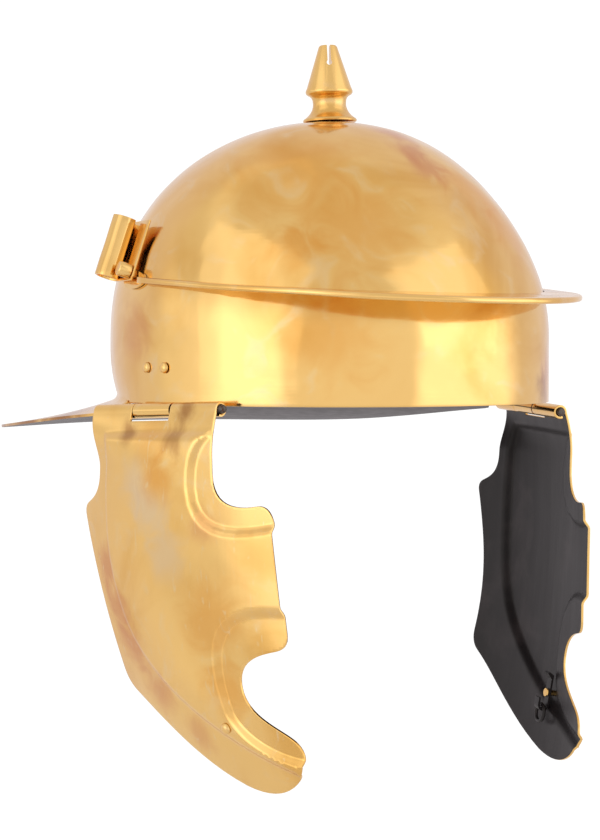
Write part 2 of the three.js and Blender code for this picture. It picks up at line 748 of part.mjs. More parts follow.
/** Everything on one side of the helmet, as [name, geometry, material]. */
function sidePieces(side, hang) {
  const mirror = side === "right";
  const frame = hingeFrame(hang);
  const pieces = [];
  const keep = (name, solid, material) => {
    pieces.push([`${name}_${side}`, geometryOf(solid, mirror), material]);
  };
  keep("plume_tube", tubeSolid, BRASS);
  keep("tube_stud", tubeStud(), TURNED_BRASS);
  keep("hinge_leaf", hingeLeaf(frame, hang.height), BRASS);
  leafRivets.forEach(({ point, outward }, i) => {
    const name = i ? "leaf_rivet_front" : "leaf_rivet_rear";
    keep(name, solidOf(domedRivet(point, outward, leafGrip)), TURNED_BRASS);
  });
  const { pinRadius, halfLength } = HINGE;
  const pinEnd = halfLength + HINGE.pinProud;
  const pin = rod(pinRadius, frame.origin, frame.across, -halfLength, pinEnd, ROUND.roll);
  keep("hinge_pin", solidOf(pin), STEEL);
  for (const [name, solid, material] of guardPieces(hang)) {
    const geometry = placed(geometryOf(solid), frame.origin, frame.across, frame.out, frame.up);
    pieces.push([`${name}_${side}`, mirror ? mirrored(geometry) : geometry, material]);
  }
  return pieces;
}

// ---- The helmet ----

const helmet = new THREE.Group();
helmet.name = "legionary_helmet";
const pieces = [
  ["skull_bowl", geometryOf(bowl), BRASS],
  ["crest_knob", knobGeometry, TURNED_BRASS],
  ["brow_peak", geometryOf(peak), BRASS],
  ...sidePieces("left", HANG.left),
  ...sidePieces("right", HANG.right),
];
for (const [name, geometry, material] of pieces) {
  const piece = new THREE.Mesh(geometry, material);
  piece.name = name;
  helmet.add(piece);
}

export default helmet;
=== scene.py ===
"""A Roman legionary helmet in sheet brass: smooth sheets, pressed cheek guards and worn polish."""

import logging
import math
from dataclasses import dataclass, field
from enum import Enum
from typing import Callable, Iterable, Mapping, Optional, Sequence, Union

import bmesh
import bpy
from bmesh.types import BMEdge, BMesh, BMVert
from mathutils import Matrix, Vector, noise

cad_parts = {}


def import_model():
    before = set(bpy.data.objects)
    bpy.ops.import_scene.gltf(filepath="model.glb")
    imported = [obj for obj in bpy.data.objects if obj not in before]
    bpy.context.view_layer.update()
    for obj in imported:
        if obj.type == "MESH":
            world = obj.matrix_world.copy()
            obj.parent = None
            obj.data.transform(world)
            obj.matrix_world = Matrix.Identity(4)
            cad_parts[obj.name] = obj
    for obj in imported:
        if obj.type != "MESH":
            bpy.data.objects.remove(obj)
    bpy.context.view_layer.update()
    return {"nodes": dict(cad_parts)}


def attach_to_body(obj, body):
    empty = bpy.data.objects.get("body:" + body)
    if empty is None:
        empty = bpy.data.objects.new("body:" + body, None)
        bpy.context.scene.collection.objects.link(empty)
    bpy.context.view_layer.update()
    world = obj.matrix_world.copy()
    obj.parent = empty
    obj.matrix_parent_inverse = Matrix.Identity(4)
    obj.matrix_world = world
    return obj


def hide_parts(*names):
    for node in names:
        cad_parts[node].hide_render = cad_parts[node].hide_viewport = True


LOG = logging.getLogger("helmet")
MM = 0.001
ROOT_BODY = "helmet"

Point = tuple[float, float]
Colour = tuple[float, float, float]


# ---- Small maths ----


def smooth(x: float, low: float, high: float) -> float:
    """Goes from 0 at low to 1 at high with soft ends."""
    t = min(max((x - low) / (high - low), 0.0), 1.0)
    return t * t * (3 - 2 * t)


def bezier(points: Sequence[Point], steps: int) -> list[Point]:
    """Points along a quadratic or cubic curve, without its start.

    Args:
        points: The start, the one or two handles and the end.
        steps: How many points to give.

    Returns:
        The points after the start, the end included.
    """
    order = len(points) - 1
    made = []
    for i in range(1, steps + 1):
        t = i / steps
        weights = [math.comb(order, k) * t**k * (1 - t) ** (order - k) for k in range(order + 1)]
        made.append(
            (
                sum(w * p[0] for w, p in zip(weights, points)),
                sum(w * p[1] for w, p in zip(weights, points)),
            )
        )
    return made


def drawn(start: Point, *strokes: Sequence[Point], steps: int = 12) -> list[Point]:
    """An outline drawn from a start by strokes, each a line end or a curve's handles and end.

    Args:
        start: The first point.
        strokes: One point for a line, two or three for a curve.
        steps: Points on each curve.

    Returns:
        The outline's corners in order.
    """
    outline = [start]
    for stroke in strokes:
        count = 1 if len(stroke) == 1 else steps
        outline.extend(bezier([outline[-1], *stroke], count))
    return outline


def nearest_on(outline: Sequence[Point], x: float, y: float) -> tuple[float, Point, bool]:
    """Finds the nearest place on a closed outline.

    Args:
        outline: The corners in order.
        x: The point's first coordinate.
        y: The point's second coordinate.

    Returns:
        The distance, the place on the outline, and whether the point is inside.
    """
    best, place, within = math.inf, outline[0], False
    for i, (ax, ay) in enumerate(outline):
        bx, by = outline[(i + 1) % len(outline)]
        dx, dy = bx - ax, by - ay
        span = dx * dx + dy * dy
        t = 0.0 if span == 0 else min(max(((x - ax) * dx + (y - ay) * dy) / span, 0.0), 1.0)
        px, py = ax + t * dx, ay + t * dy
        away = math.hypot(px - x, py - y)
        if away < best:
            best, place = away, (px, py)
        if (ay > y) != (by > y) and x < ax + (y - ay) / (by - ay) * dx:
            within = not within
    return best, place, within


def axes(x: Vector, y: Vector, z: Vector, origin: Sequence[float]) -> Matrix:
    """Takes local axes at an origin to the helmet's own."""
    matrix = Matrix((x, y, z)).transposed().to_4x4()
    matrix.translation = origin
    return matrix


# ---- Shader graphs ----


@dataclass(frozen=True)
class Signal:
    """A node's output that takes part in Python arithmetic."""

    graph: "Graph"
    socket: bpy.types.NodeSocket

    def __add__(self, other: "Operand") -> "Signal":
        """Adds."""
        return self.graph.math("ADD", self, other)

    def __radd__(self, other: "Operand") -> "Signal":
        """Adds, with the number first."""
        return self.graph.math("ADD", other, self)

    def __sub__(self, other: "Operand") -> "Signal":
        """Takes away."""
        return self.graph.math("SUBTRACT", self, other)

    def __rsub__(self, other: "Operand") -> "Signal":
        """Takes this from a number."""
        return self.graph.math("SUBTRACT", other, self)

    def __mul__(self, other: "Operand") -> "Signal":
        """Multiplies."""
        return self.graph.math("MULTIPLY", self, other)

    def __rmul__(self, other: "Operand") -> "Signal":
        """Multiplies, with the number first."""
        return self.graph.math("MULTIPLY", other, self)

    def __truediv__(self, other: "Operand") -> "Signal":
        """Divides."""
        return self.graph.math("DIVIDE", self, other)

    def __pow__(self, other: "Operand") -> "Signal":
        """Raises to a power."""
        return self.graph.math("POWER", self, other)

    def above(self, low: float, high: float) -> "Signal":
        """Goes softly from 0 below low to 1 above high."""
        return self.graph.node(
            "ShaderNodeMapRange",
            {"interpolation_type": "SMOOTHSTEP"},
            {"Value": self, "From Min": low, "From Max": high},
        )

    def below(self, low: float, high: float) -> "Signal":
        """Goes softly from 1 below low to 0 above high."""
        return 1.0 - self.above(low, high)


Operand = Union[Signal, float]


class Graph:
    """Adds nodes to a node tree."""

    def __init__(self, tree: bpy.types.NodeTree) -> None:
        """Starts with an empty tree."""
        self.tree = tree
        tree.nodes.clear()

    def node(
        self,
        kind: str,
        settings: Optional[Mapping[str, object]] = None,
        inputs: Optional[Mapping[Union[str, int], object]] = None,
        output: Union[str, int] = 0,
    ) -> Optional[Signal]:
        """Makes one node.

        Args:
            kind: The node's type.
            settings: Its own properties, set first.
            inputs: Values or signals for its sockets.
            output: The socket that is wanted.

        Returns:
            The wanted output, or nothing from a node that has none.
        """
        made = self.tree.nodes.new(kind)
        for name, value in (settings or {}).items():
            setattr(made, name, value)
        for name, value in (inputs or {}).items():
            if isinstance(value, Signal):
                self.tree.links.new(value.socket, made.inputs[name])
            else:
                made.inputs[name].default_value = value
        return Signal(self, made.outputs[output]) if made.outputs else None

    def math(self, operation: str, *operands: Operand) -> Signal:
        """Makes a Math node."""
        return self.node("ShaderNodeMath", {"operation": operation}, dict(enumerate(operands)))

    def place(self) -> Signal:
        """The place on the helmet, in metres."""
        return self.node("ShaderNodeTexCoord", output="Object")

    def scaled(self, place: Signal, scale: Colour, turn: Colour = (0.0, 0.0, 0.0)) -> Signal:
        """A place with its axes turned and stretched."""
        return self.node("ShaderNodeMapping", {}, {"Vector": place, "Scale": scale, "Rotation": turn})

    def noise(self, place: Signal, scale: float, detail: float = 3.0, twist: float = 0.0) -> Signal:
        """Cloudy values from 0 to 1 whose grain is 1/scale metres."""
        return self.node(
            "ShaderNodeTexNoise",
            {},
            {"Vector": place, "Scale": scale, "Detail": detail, "Distortion": twist},
        )

    def distance(self, place: Signal, point: Sequence[float]) -> Signal:
        """Distance in metres from a point given in millimetres."""
        return self.node(
            "ShaderNodeVectorMath",
            {"operation": "DISTANCE"},
            {0: place, 1: [c * MM for c in point]},
            "Value",
        )

    def axis(self, place: Signal, name: str) -> Signal:
        """One coordinate of a place."""
        return self.node("ShaderNodeSeparateXYZ", {}, {0: place}, name)

    def mix(self, low: object, high: object, share: Operand) -> Signal:
        """Goes from one colour to another."""
        made = self.tree.nodes.new("ShaderNodeMix")
        made.data_type = "RGBA"
        ends = {"Factor": share, "A": low, "B": high}
        sockets = [s for s in made.inputs if s.enabled]
        for socket in sockets:
            value = ends.get(socket.name)
            if isinstance(value, Signal):
                self.tree.links.new(value.socket, socket)
            elif value is not None:
                socket.default_value = (*value, 1.0) if isinstance(value, tuple) else value
        result = next(s for s in made.outputs if s.enabled)
        return Signal(self, result)

    def bump(self, height: Signal, depth: float, onto: Optional[Signal] = None) -> Signal:
        """A surface normal disturbed by a height, depth metres deep."""
        inputs: dict[Union[str, int], object] = {"Height": height, "Distance": depth, "Strength": 1.0}
        if onto is not None:
            inputs["Normal"] = onto
        return self.node("ShaderNodeBump", {}, inputs)

    def surface(self, values: Mapping[Union[str, int], object]) -> None:
        """Ends a material in one shader with these values."""
        shader = self.node("ShaderNodeBsdfPrincipled", {}, values)
        self.node("ShaderNodeOutputMaterial", {}, {"Surface": shader})


def blank_material(name: str) -> tuple[bpy.types.Material, Graph]:
    """A new material and the graph of its nodes."""
    made = bpy.data.materials.new(name)
    made.use_nodes = True
    return made, Graph(made.node_tree)


# ---- Finishes ----


class Tint(Enum):
    """What handling and heat left on the brass, and the brown of painted shade."""

    ROSE = (0.62, 0.26, 0.115)
    BROWN = (0.34, 0.15, 0.055)
    ORANGE = (0.74, 0.33, 0.055)
    HAZE = (0.70, 0.56, 0.40)


@dataclass(frozen=True)
class Spot:
    """A tinted place on the brass, most of them stains and a few painted shade: its middle and reach
    in millimetres, strength and tint.
    """

    middle: tuple[float, float, float]
    reach: float
    strength: float
    tint: Tint = Tint.ROSE


class Grain(Enum):
    """Which way a brass surface was rubbed."""

    ROUND_THE_BOWL = (30.0, 30.0, 900.0)
    DOWN_THE_GUARD = (500.0, 500.0, 25.0)
    TURNED = (20.0, 20.0, 2600.0)


BOWL_SPOTS = (
    Spot((0.0, -12.0, 133.0), 17.0, 0.55, Tint.BROWN),
    Spot((11.4, -35.6, 126.8), 14.0, 0.75),
    Spot((9.7, -52.6, 117.3), 13.0, 0.7),
    Spot((13.6, -62.8, 108.4), 14.0, 0.65),
    Spot((34.1, -66.4, 99.0), 26.0, 0.5, Tint.ORANGE),
    Spot((50.6, -71.7, 83.0), 28.0, 0.55, Tint.ORANGE),
    Spot((-63.4, -72.2, 69.6), 17.0, 0.55, Tint.ORANGE),
    Spot((-37.9, -81.2, 79.6), 38.0, 0.45, Tint.ORANGE),
    Spot((-49.4, -50.3, 105.4), 38.0, 0.4, Tint.ORANGE),
    Spot((65.3, -84.3, 11.6), 15.0, 0.7),
    Spot((59.9, -88.6, 5.2), 14.0, 0.7, Tint.BROWN),
    Spot((-59.0, -89.2, 33.4), 32.0, 0.4, Tint.ORANGE),
    Spot((-102.8, 7.0, 33.9), 20.0, 0.45),
    Spot((101.0, 20.0, 24.0), 24.0, 0.4, Tint.ORANGE),
    Spot((30.0, 108.0, 40.0), 30.0, 0.4),
    Spot((-50.0, 130.0, -10.0), 34.0, 0.4, Tint.BROWN),
    # These four brown spots darken the wings of the neck guard towards their edges.
    Spot((-118.0, 55.0, -9.0), 30.0, 0.9, Tint.BROWN),
    Spot((-117.0, 95.0, -13.0), 32.0, 0.9, Tint.BROWN),
    Spot((-110.0, 138.0, -16.0), 34.0, 0.9, Tint.BROWN),
    Spot((110.0, 120.0, -15.0), 34.0, 0.6, Tint.BROWN),
)
GUARD_SPOTS = (
    Spot((-104.3, -42.4, -2.5), 9.0, 0.8, Tint.BROWN),
    Spot((-114.3, 12.5, -74.4), 15.0, 0.65),
    Spot((-111.4, 6.4, -92.5), 16.0, 0.7),
    Spot((-107.1, -0.1, -110.5), 16.0, 0.65),
    Spot((-100.9, -12.5, -130.0), 16.0, 0.6),
    Spot((-93.0, -35.2, -147.7), 13.0, 0.45),
    Spot((-116.4, -18.3, -33.3), 15.0, 0.55, Tint.HAZE),
    Spot((-114.3, -28.3, -46.2), 16.0, 0.6, Tint.HAZE),
    Spot((-111.5, -36.8, -65.6), 16.0, 0.5, Tint.HAZE),
    Spot((-104.3, -59.8, -50.9), 11.0, 0.4),
    Spot((-102.1, -60.2, -92.3), 26.0, 0.45, Tint.ORANGE),
    Spot((-95.3, -61.3, -123.3), 18.0, 0.5, Tint.ORANGE),
    Spot((-92.3, -87.3, -64.3), 20.0, 0.4, Tint.ORANGE),
    Spot((-114.0, -27.9, -15.1), 18.0, 0.35, Tint.ORANGE),
    # Painted shade: these two brown spots darken the sheet at the step under the hinge, where shade
    # falls.
    Spot((-117.0, -12.0, -12.0), 8.0, 0.7, Tint.BROWN),
    Spot((-110.0, -42.0, -14.0), 10.0, 0.6, Tint.BROWN),
    Spot((-113.0, -33.0, -32.0), 15.0, 0.6, Tint.ORANGE),
    Spot((112.0, 2.0, -100.0), 20.0, 0.5),
    Spot((111.0, -40.0, -50.0), 20.0, 0.45, Tint.HAZE),
)


@dataclass(frozen=True)
class Brass:
    """Polished sheet brass with rub marks, cloudy patches, pink-brown stains and a few brown spots of
    painted shade.
    """

    name: str
    grain: Grain
    colour: Colour = (0.85, 0.555, 0.205)
    deep: Colour = (0.71, 0.385, 0.090)
    pale: Colour = (0.80, 0.61, 0.36)
    stain: Colour = (0.52, 0.24, 0.10)
    roughness: float = 0.075
    patchiness: float = 0.12
    scratches: float = 0.0
    rub_depth: float = 0.000012
    wave_depth: float = 0.0010
    spots: tuple[Spot, ...] = ()

    def material(self) -> bpy.types.Material:
        """Makes the material."""
        made, g = blank_material(self.name)
        place = g.place()
        clouds = g.noise(place, 16.0, 4.0, 0.8)
        wisps = g.noise(place, 42.0, 5.0, 1.6)
        rubs = g.noise(g.scaled(place, self.grain.value, (0.12, 0.05, 0.2)), 1.0, 4.0)
        colour = g.mix(self.colour, self.deep, clouds.above(0.42, 0.72) * 0.75)
        colour = g.mix(colour, self.pale, wisps.above(0.54, 0.78) * 0.5)
        stain_and_shade: Signal = wisps.above(0.68, 0.92) * 0.4
        colour = g.mix(colour, self.stain, stain_and_shade)
        ragged = (wisps - 0.5) * 1.5
        # Spots tint the brass: most are stains, a few brown ones are painted shade.
        for spot in self.spots:
            away = g.distance(place, spot.middle) / (spot.reach * MM) + ragged
            share = away.below(0.1, 1.0) * spot.strength
            colour = g.mix(colour, spot.tint.value, share)
            stain_and_shade = stain_and_shade + share * 0.6
        if self.scratches:
            lines = g.noise(g.scaled(place, (260.0, 260.0, 60.0), (0.5, 0.1, 0.4)), 1.0, 6.0, 2.2)
            colour = g.mix(colour, self.pale, lines.above(0.62, 0.70) * self.scratches)
        rough = self.roughness + wisps.above(0.4, 0.8) * self.patchiness + rubs * 0.05 + stain_and_shade * 0.12
        waves = g.noise(place, 24.0, 2.0)
        normal = g.bump(rubs, self.rub_depth, g.bump(waves, self.wave_depth))
        g.surface({"Base Color": colour, "Roughness": rough, "Metallic": 1.0, "Normal": normal})
        return made


@dataclass(frozen=True)
class Paint:
    """Brushed satin paint, nearly black, scuffed in places."""

    name: str
    colour: Colour = (0.014, 0.011, 0.012)
    scuff: Colour = (0.040, 0.031, 0.033)
    shine: float = 0.28
    stroke_depth: float = 0.00008

    def material(self) -> bpy.types.Material:
        """Makes the material."""
        made, g = blank_material(self.name)
        place = g.place()
        clouds = g.noise(place, 30.0, 4.0, 0.6)
        strokes = g.noise(g.scaled(place, (160.0, 160.0, 18.0), (0.2, 0.1, 0.0)), 1.0, 3.0)
        colour = g.mix(self.colour, self.scuff, clouds.above(0.5, 0.8))
        rough = 0.30 + strokes * 0.16
        normal = g.bump(strokes, self.stroke_depth)
        g.surface(
            {
                "Base Color": colour,
                "Roughness": rough,
                "Specular IOR Level": self.shine,
                "Normal": normal,
            }
        )
        return made


@dataclass(frozen=True)
class Steel:
    """Dull dark wire with rust in its pits."""

    name: str
    colour: Colour = (0.13, 0.115, 0.105)
    rust: Colour = (0.11, 0.045, 0.02)
    pit_depth: float = 0.00015

    def material(self) -> bpy.types.Material:
        """Makes the material."""
        made, g = blank_material(self.name)
        place = g.place()
        pits = g.noise(place, 900.0, 4.0)
        g.surface(
            {
                "Base Color": g.mix(self.colour, self.rust, pits.above(0.5, 0.7)),
                "Roughness": 0.42 + pits * 0.3,
                "Metallic": 0.9,
                "Normal": g.bump(pits, self.pit_depth),
            }
        )
        return made


class Slot(Enum):
    """Material slot names."""

    POLISHED = "polished_brass"
    TURNED = "turned_brass"
    PAINT = "black_paint"
    STEEL = "pin_steel"


@dataclass
class Finishes:
    """The materials that the pieces share."""

    bowl: bpy.types.Material = field(init=False)
    guard: bpy.types.Material = field(init=False)
    turned: bpy.types.Material = field(init=False)
    paint: bpy.types.Material = field(init=False)
    steel: bpy.types.Material = field(init=False)

    def __post_init__(self) -> None:
        """Makes them all."""
        self.bowl = Brass("brass_bowl", Grain.ROUND_THE_BOWL, spots=BOWL_SPOTS).material()
        self.guard = Brass(
            "brass_guard",
            Grain.DOWN_THE_GUARD,
            roughness=0.13,
            wave_depth=0.0007,
            scratches=0.45,
            spots=GUARD_SPOTS,
        ).material()
        self.turned = Brass("brass_turned", Grain.TURNED, roughness=0.16, wave_depth=0.0).material()
        self.paint = Paint("paint_inside").material()
        self.steel = Steel("steel_pin").material()


# ---- Workpieces ----


class Piece:
    """A mesh being shaped in millimetres, which ends up as one object in the helmet's frame."""

    def __init__(self, name: str) -> None:
        """Starts empty."""
        self.name = name
        self.bm: BMesh = bmesh.new()

    def line(self, points: Iterable[Sequence[float]]) -> list[BMVert]:
        """Puts down a chain of vertices joined by edges."""
        verts = [self.bm.verts.new(p) for p in points]
        for a, b in zip(verts, verts[1:]):
            self.bm.edges.new((a, b))
        return verts

    def turn(self, profile: Iterable[Point], steps: int) -> None:
        """Spins a profile of radius and height pairs round Z.

        Args:
            profile: From the lower end to the upper one, or the other way.
            steps: Facets round the axis.
        """
        self.line((radius, 0.0, height) for radius, height in profile)
        bmesh.ops.spin(
            self.bm,
            geom=[*self.bm.verts, *self.bm.edges],
            axis=(0, 0, 1),
            cent=(0, 0, 0),
            angle=2 * math.pi,
            steps=steps,
            use_merge=True,
            use_duplicate=False,
        )
        self.tidy()

    def tidy(self) -> None:
        """Merges doubles and points all faces outwards."""
        bmesh.ops.remove_doubles(self.bm, verts=self.bm.verts, dist=0.001)
        bmesh.ops.recalc_face_normals(self.bm, faces=self.bm.faces)

    def bend(self, move: Callable[[Vector], Vector]) -> None:
        """Moves every vertex to a place worked out from its own."""
        for vert in self.bm.verts:
            vert.co = move(vert.co)

    def set_in(self, matrix: Matrix) -> None:
        """Places the piece, turning its faces back out if the placing mirrors it."""
        bmesh.ops.transform(self.bm, matrix=matrix, verts=self.bm.verts)
        if matrix.determinant() < 0:
            bmesh.ops.reverse_faces(self.bm, faces=self.bm.faces)

    def drop(self, material: Sequence[bpy.types.Material], crease: float = 35.0) -> bpy.types.Object:
        """Makes the object, in metres.

        Args:
            material: Materials in slot order.
            crease: Edges bent more than this many degrees stay sharp.

        Returns:
            The new object, at the origin.
        """
        bmesh.ops.scale(self.bm, vec=(MM, MM, MM), verts=self.bm.verts)
        for face in self.bm.faces:
            face.smooth = True
        mesh = bpy.data.meshes.new(self.name)
        self.bm.to_mesh(mesh)
        self.bm.free()
        for each in material:
            mesh.materials.append(each)
        mesh.set_sharp_from_angle(angle=math.radians(crease))
        made = bpy.data.objects.new(self.name, mesh)
        bpy.context.scene.collection.objects.link(made)
        return made


def settle(obj: bpy.types.Object, crease: float = 35.0) -> None:
    """Applies an object's modifiers to its mesh.

    Args:
        obj: The object, whose modifiers are removed.
        crease: Edges bent more than this many degrees stay sharp.
    """
    graph = bpy.context.evaluated_depsgraph_get()
    mesh = bpy.data.meshes.new_from_object(obj.evaluated_get(graph))
    obj.modifiers.clear()
    old, obj.data = obj.data, mesh
    mesh.name = obj.name
    bpy.data.meshes.remove(old)
    mesh.set_sharp_from_angle(angle=math.radians(crease))


def thicken(
    obj: bpy.types.Object, thickness: float, offset: float, inner: int = 0, edge: float = 0.25
) -> None:
    """Gives a sheet its wall and rounds its cut edges.

    Args:
        obj: The sheet.
        thickness: Of the wall, in millimetres.
        offset: -1 puts the wall behind the faces, 0 astride them.
        inner: Steps in material slots from the face to the back.
        edge: Rounding of the cut edges, in millimetres.
    """
    wall = obj.modifiers.new("wall", "SOLIDIFY")
    wall.thickness = thickness * MM
    wall.offset = offset
    wall.use_even_offset = True
    wall.material_offset = inner
    if edge:
        rounding = obj.modifiers.new("edges", "BEVEL")
        rounding.width = edge * MM
        rounding.segments = 2
        rounding.limit_method = "ANGLE"
        rounding.angle_limit = math.radians(50)
    settle(obj)


def attach(obj: bpy.types.Object, body: str, slot: Slot, *nodes: str) -> None:
    """Rides a piece on a body in place of its plain nodes and reports it.

    Args:
        obj: The piece.
        body: The body that carries it.
        slot: A material slot name; not used.
        nodes: The nodes that it stands for.
    """
    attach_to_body(obj, body)
    if nodes:
        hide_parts(*nodes)
    LOG.info("%s on %s, %d faces", obj.name, body, len(obj.data.polygons))


# ---- Bowl and neck guard ----


@dataclass
class Bowl:
    """The beaten bowl, drawn out at the back into the sloping neck guard."""

    finishes: Finishes
    half_width: float = 103.0
    half_length: float = 116.5
    height: float = 134.0
    band_height: float = 30.0
    wall: float = 1.4
    power: float = 2.15
    nape_tuck: float = 0.03
    tuck_height: float = 25.0
    tuck_reach: float = 60.0
    brow_draw: float = 0.065
    crown_draw: float = 0.15
    crown_draw_top: float = 120.0
    draw_from: float = -20.0
    draw_full: float = 50.0
    guard_fall: float = 39.7
    guard_flattening: float = 1.07
    guard_inner: float = -0.3
    guard_front: float = 16.0
    beat_depth: float = 0.22

    def share(self, z: float) -> float:
        """Share of the full radius at a height."""
        rise = (z - self.band_height) / (self.height - self.band_height)
        return 1.0 if rise <= 0 else max(0.0, 1 - rise**self.power) ** (1 / self.power)

    def tuck(self, y: float, z: float) -> float:
        """How far the nape is drawn in, as a share."""
        low = max(0.0, 1 - max(z, 0.0) / self.tuck_height)
        return self.nape_tuck * smooth(y, 0.0, self.tuck_reach) * low * low

    def front_draw(self, y: float, z: float) -> float:
        """How far the front is drawn in towards the middle, as a share."""
        most = self.brow_draw + self.crown_draw * smooth(z, self.band_height, self.crown_draw_top)
        return most * smooth(-y, self.draw_from, self.draw_full)

    def reach(self, x: float, y: float) -> float:
        """Distance from the upright axis in bowl radii."""
        return math.hypot(x / self.half_width, y / self.half_length)

    def guard_top(self, radii: float) -> float:
        """Height of the neck guard's upper face."""
        beyond = max(radii - 1 + self.nape_tuck, self.guard_inner)
        drop = self.guard_fall * beyond / (1 + self.guard_flattening * beyond)
        return 0.5 + self.wall / 2 - drop

    def guard_plan(self) -> list[Point]:
        """The neck guard's outline from its front end on the left round to the right."""
        half = drawn(
            (107.0, 16.0),
            ((116.0, 17.0), (117.0, 28.0)),
            ((119.5, 62.0), (118.5, 104.0), (113.0, 130.0)),
            ((107.0, 156.0), (92.0, 172.0), (66.0, 179.0)),
            ((44.0, 184.5), (20.0, 186.0), (0.0, 186.0)),
            steps=24,
        )
        return half + [(-x, y) for x, y in reversed(half[:-1])]

    def profile(self) -> list[Point]:
        """The bowl's outside from the rim to the crown, as share of radius and height."""
        points = [(1.0, z) for z in (0.0, 1.5, 3.5, 7.0, 12.0, 18.0, 24.0, 30.0)]
        steps = 60
        for i in range(1, steps + 1):
            angle = i / steps * math.pi / 2
            points.append(
                (
                    math.cos(angle) ** (2 / self.power) if i < steps else 0.0,
                    self.band_height
                    + math.sin(angle) ** (2 / self.power) * (self.height - self.band_height),
                )
            )
        return points

    def beaten(self, co: Vector) -> Vector:
        """Moves a point by the small unevenness that hammering left."""
        outward = Vector((co.x / self.half_width**2, co.y / self.half_length**2, 0.0))
        lift = max(co.z - self.band_height, 0.0) / (self.height - self.band_height) ** 2
        outward.z = lift
        if outward.length == 0:
            return co
        outward.normalize()
        waves = noise.noise(co / 34.0) + 0.35 * noise.noise(co / 14.0)
        return co + outward * (waves * self.beat_depth * smooth(co.z, 0.5, 12.0))

    def draw_out_nape(self, piece: Piece) -> None:
        """Draws the rear of the rim out into the neck guard, ring by ring."""
        plan = self.guard_plan()
        bearings = [(math.atan2(y, x), math.hypot(x, y)) for x, y in plan]

        def outline(bearing: float) -> float:
            """Distance from the axis to the outline at a bearing."""
            for (a, ra), (b, rb) in zip(bearings, bearings[1:]):
                if a <= bearing <= b:
                    return ra + (rb - ra) * (bearing - a) / max(b - a, 1e-9)
            return bearings[-1][1]

        rim = [
            e
            for e in piece.bm.edges
            if e.is_boundary and all(v.co.z < 0.01 and v.co.y > self.guard_front - 1 for v in e.verts)
        ]
        roots: dict[BMVert, Vector] = {}
        for edge in rim:
            for vert in edge.verts:
                roots[vert] = vert.co.copy()
        for vert in piece.bm.verts:
            x, y, z = vert.co
            if z < self.band_height and y > self.guard_front:
                root_height = (self.guard_top(self.reach(x, y)) + 2.4) * smooth(
                    y, self.guard_front, self.guard_front + 9
                )
                vert.co.z = root_height + z * (1 - root_height / self.band_height)
        fillet = ((0.35, 1.15), (1.1, 0.35), (2.4, 0.0))
        spread = (0.08, 0.18, 0.3, 0.42, 0.55, 0.68, 0.8, 0.9, 0.96, 1.0)
        for step in range(len(fillet) + len(spread)):
            out = bmesh.ops.extrude_edge_only(piece.bm, edges=rim)["geom"]
            fresh = [g for g in out if isinstance(g, BMVert)]
            moved: dict[BMVert, Vector] = {}
            for vert in fresh:
                source = min(roots, key=lambda r: (r.co - vert.co).length_squared)
                moved[vert] = roots[source]
            for vert, root in moved.items():
                inner = math.hypot(root.x, root.y)
                bearing = math.atan2(root.y, root.x)
                outer = max(outline(bearing), inner + 3)
                if step < len(fillet):
                    radius, lift = inner + fillet[step][0], fillet[step][1]
                else:
                    start = inner + fillet[-1][0]
                    radius, lift = start + (outer - start) * spread[step - len(fillet)], 0.0
                x, y = radius * math.cos(bearing), radius * math.sin(bearing)
                vert.co = Vector((x, y, self.guard_top(self.reach(x, y)) + lift))
            roots = moved
            rim = [g for g in out if isinstance(g, BMEdge)]

    def build(self) -> None:
        """Makes the bowl and its neck guard as one painted sheet."""
        piece = Piece("skull_bowl_sheet")
        piece.turn(self.profile(), 180)
        bmesh.ops.scale(piece.bm, vec=(self.half_width, self.half_length, 1.0), verts=piece.bm.verts)

        def tucked(co: Vector) -> Vector:
            """Draws the nape and the brow in."""
            keep = 1 - self.tuck(co.y, co.z)
            length = keep * (1 - self.front_draw(co.y, co.z))
            return Vector((co.x * keep, co.y * length, co.z))

        piece.bend(tucked)
        self.draw_out_nape(piece)
        piece.bend(self.beaten)
        bmesh.ops.recalc_face_normals(piece.bm, faces=piece.bm.faces)
        piece.bm.normal_update()
        crown = max(piece.bm.faces, key=lambda f: f.calc_center_median().z)
        if crown.normal.z < 0:
            bmesh.ops.reverse_faces(piece.bm, faces=piece.bm.faces)
        bowl = piece.drop([self.finishes.bowl, self.finishes.paint])
        thicken(bowl, self.wall, -1.0, inner=1)
        attach(bowl, ROOT_BODY, Slot.POLISHED, "skull_bowl")


# ---- Crest knob ----


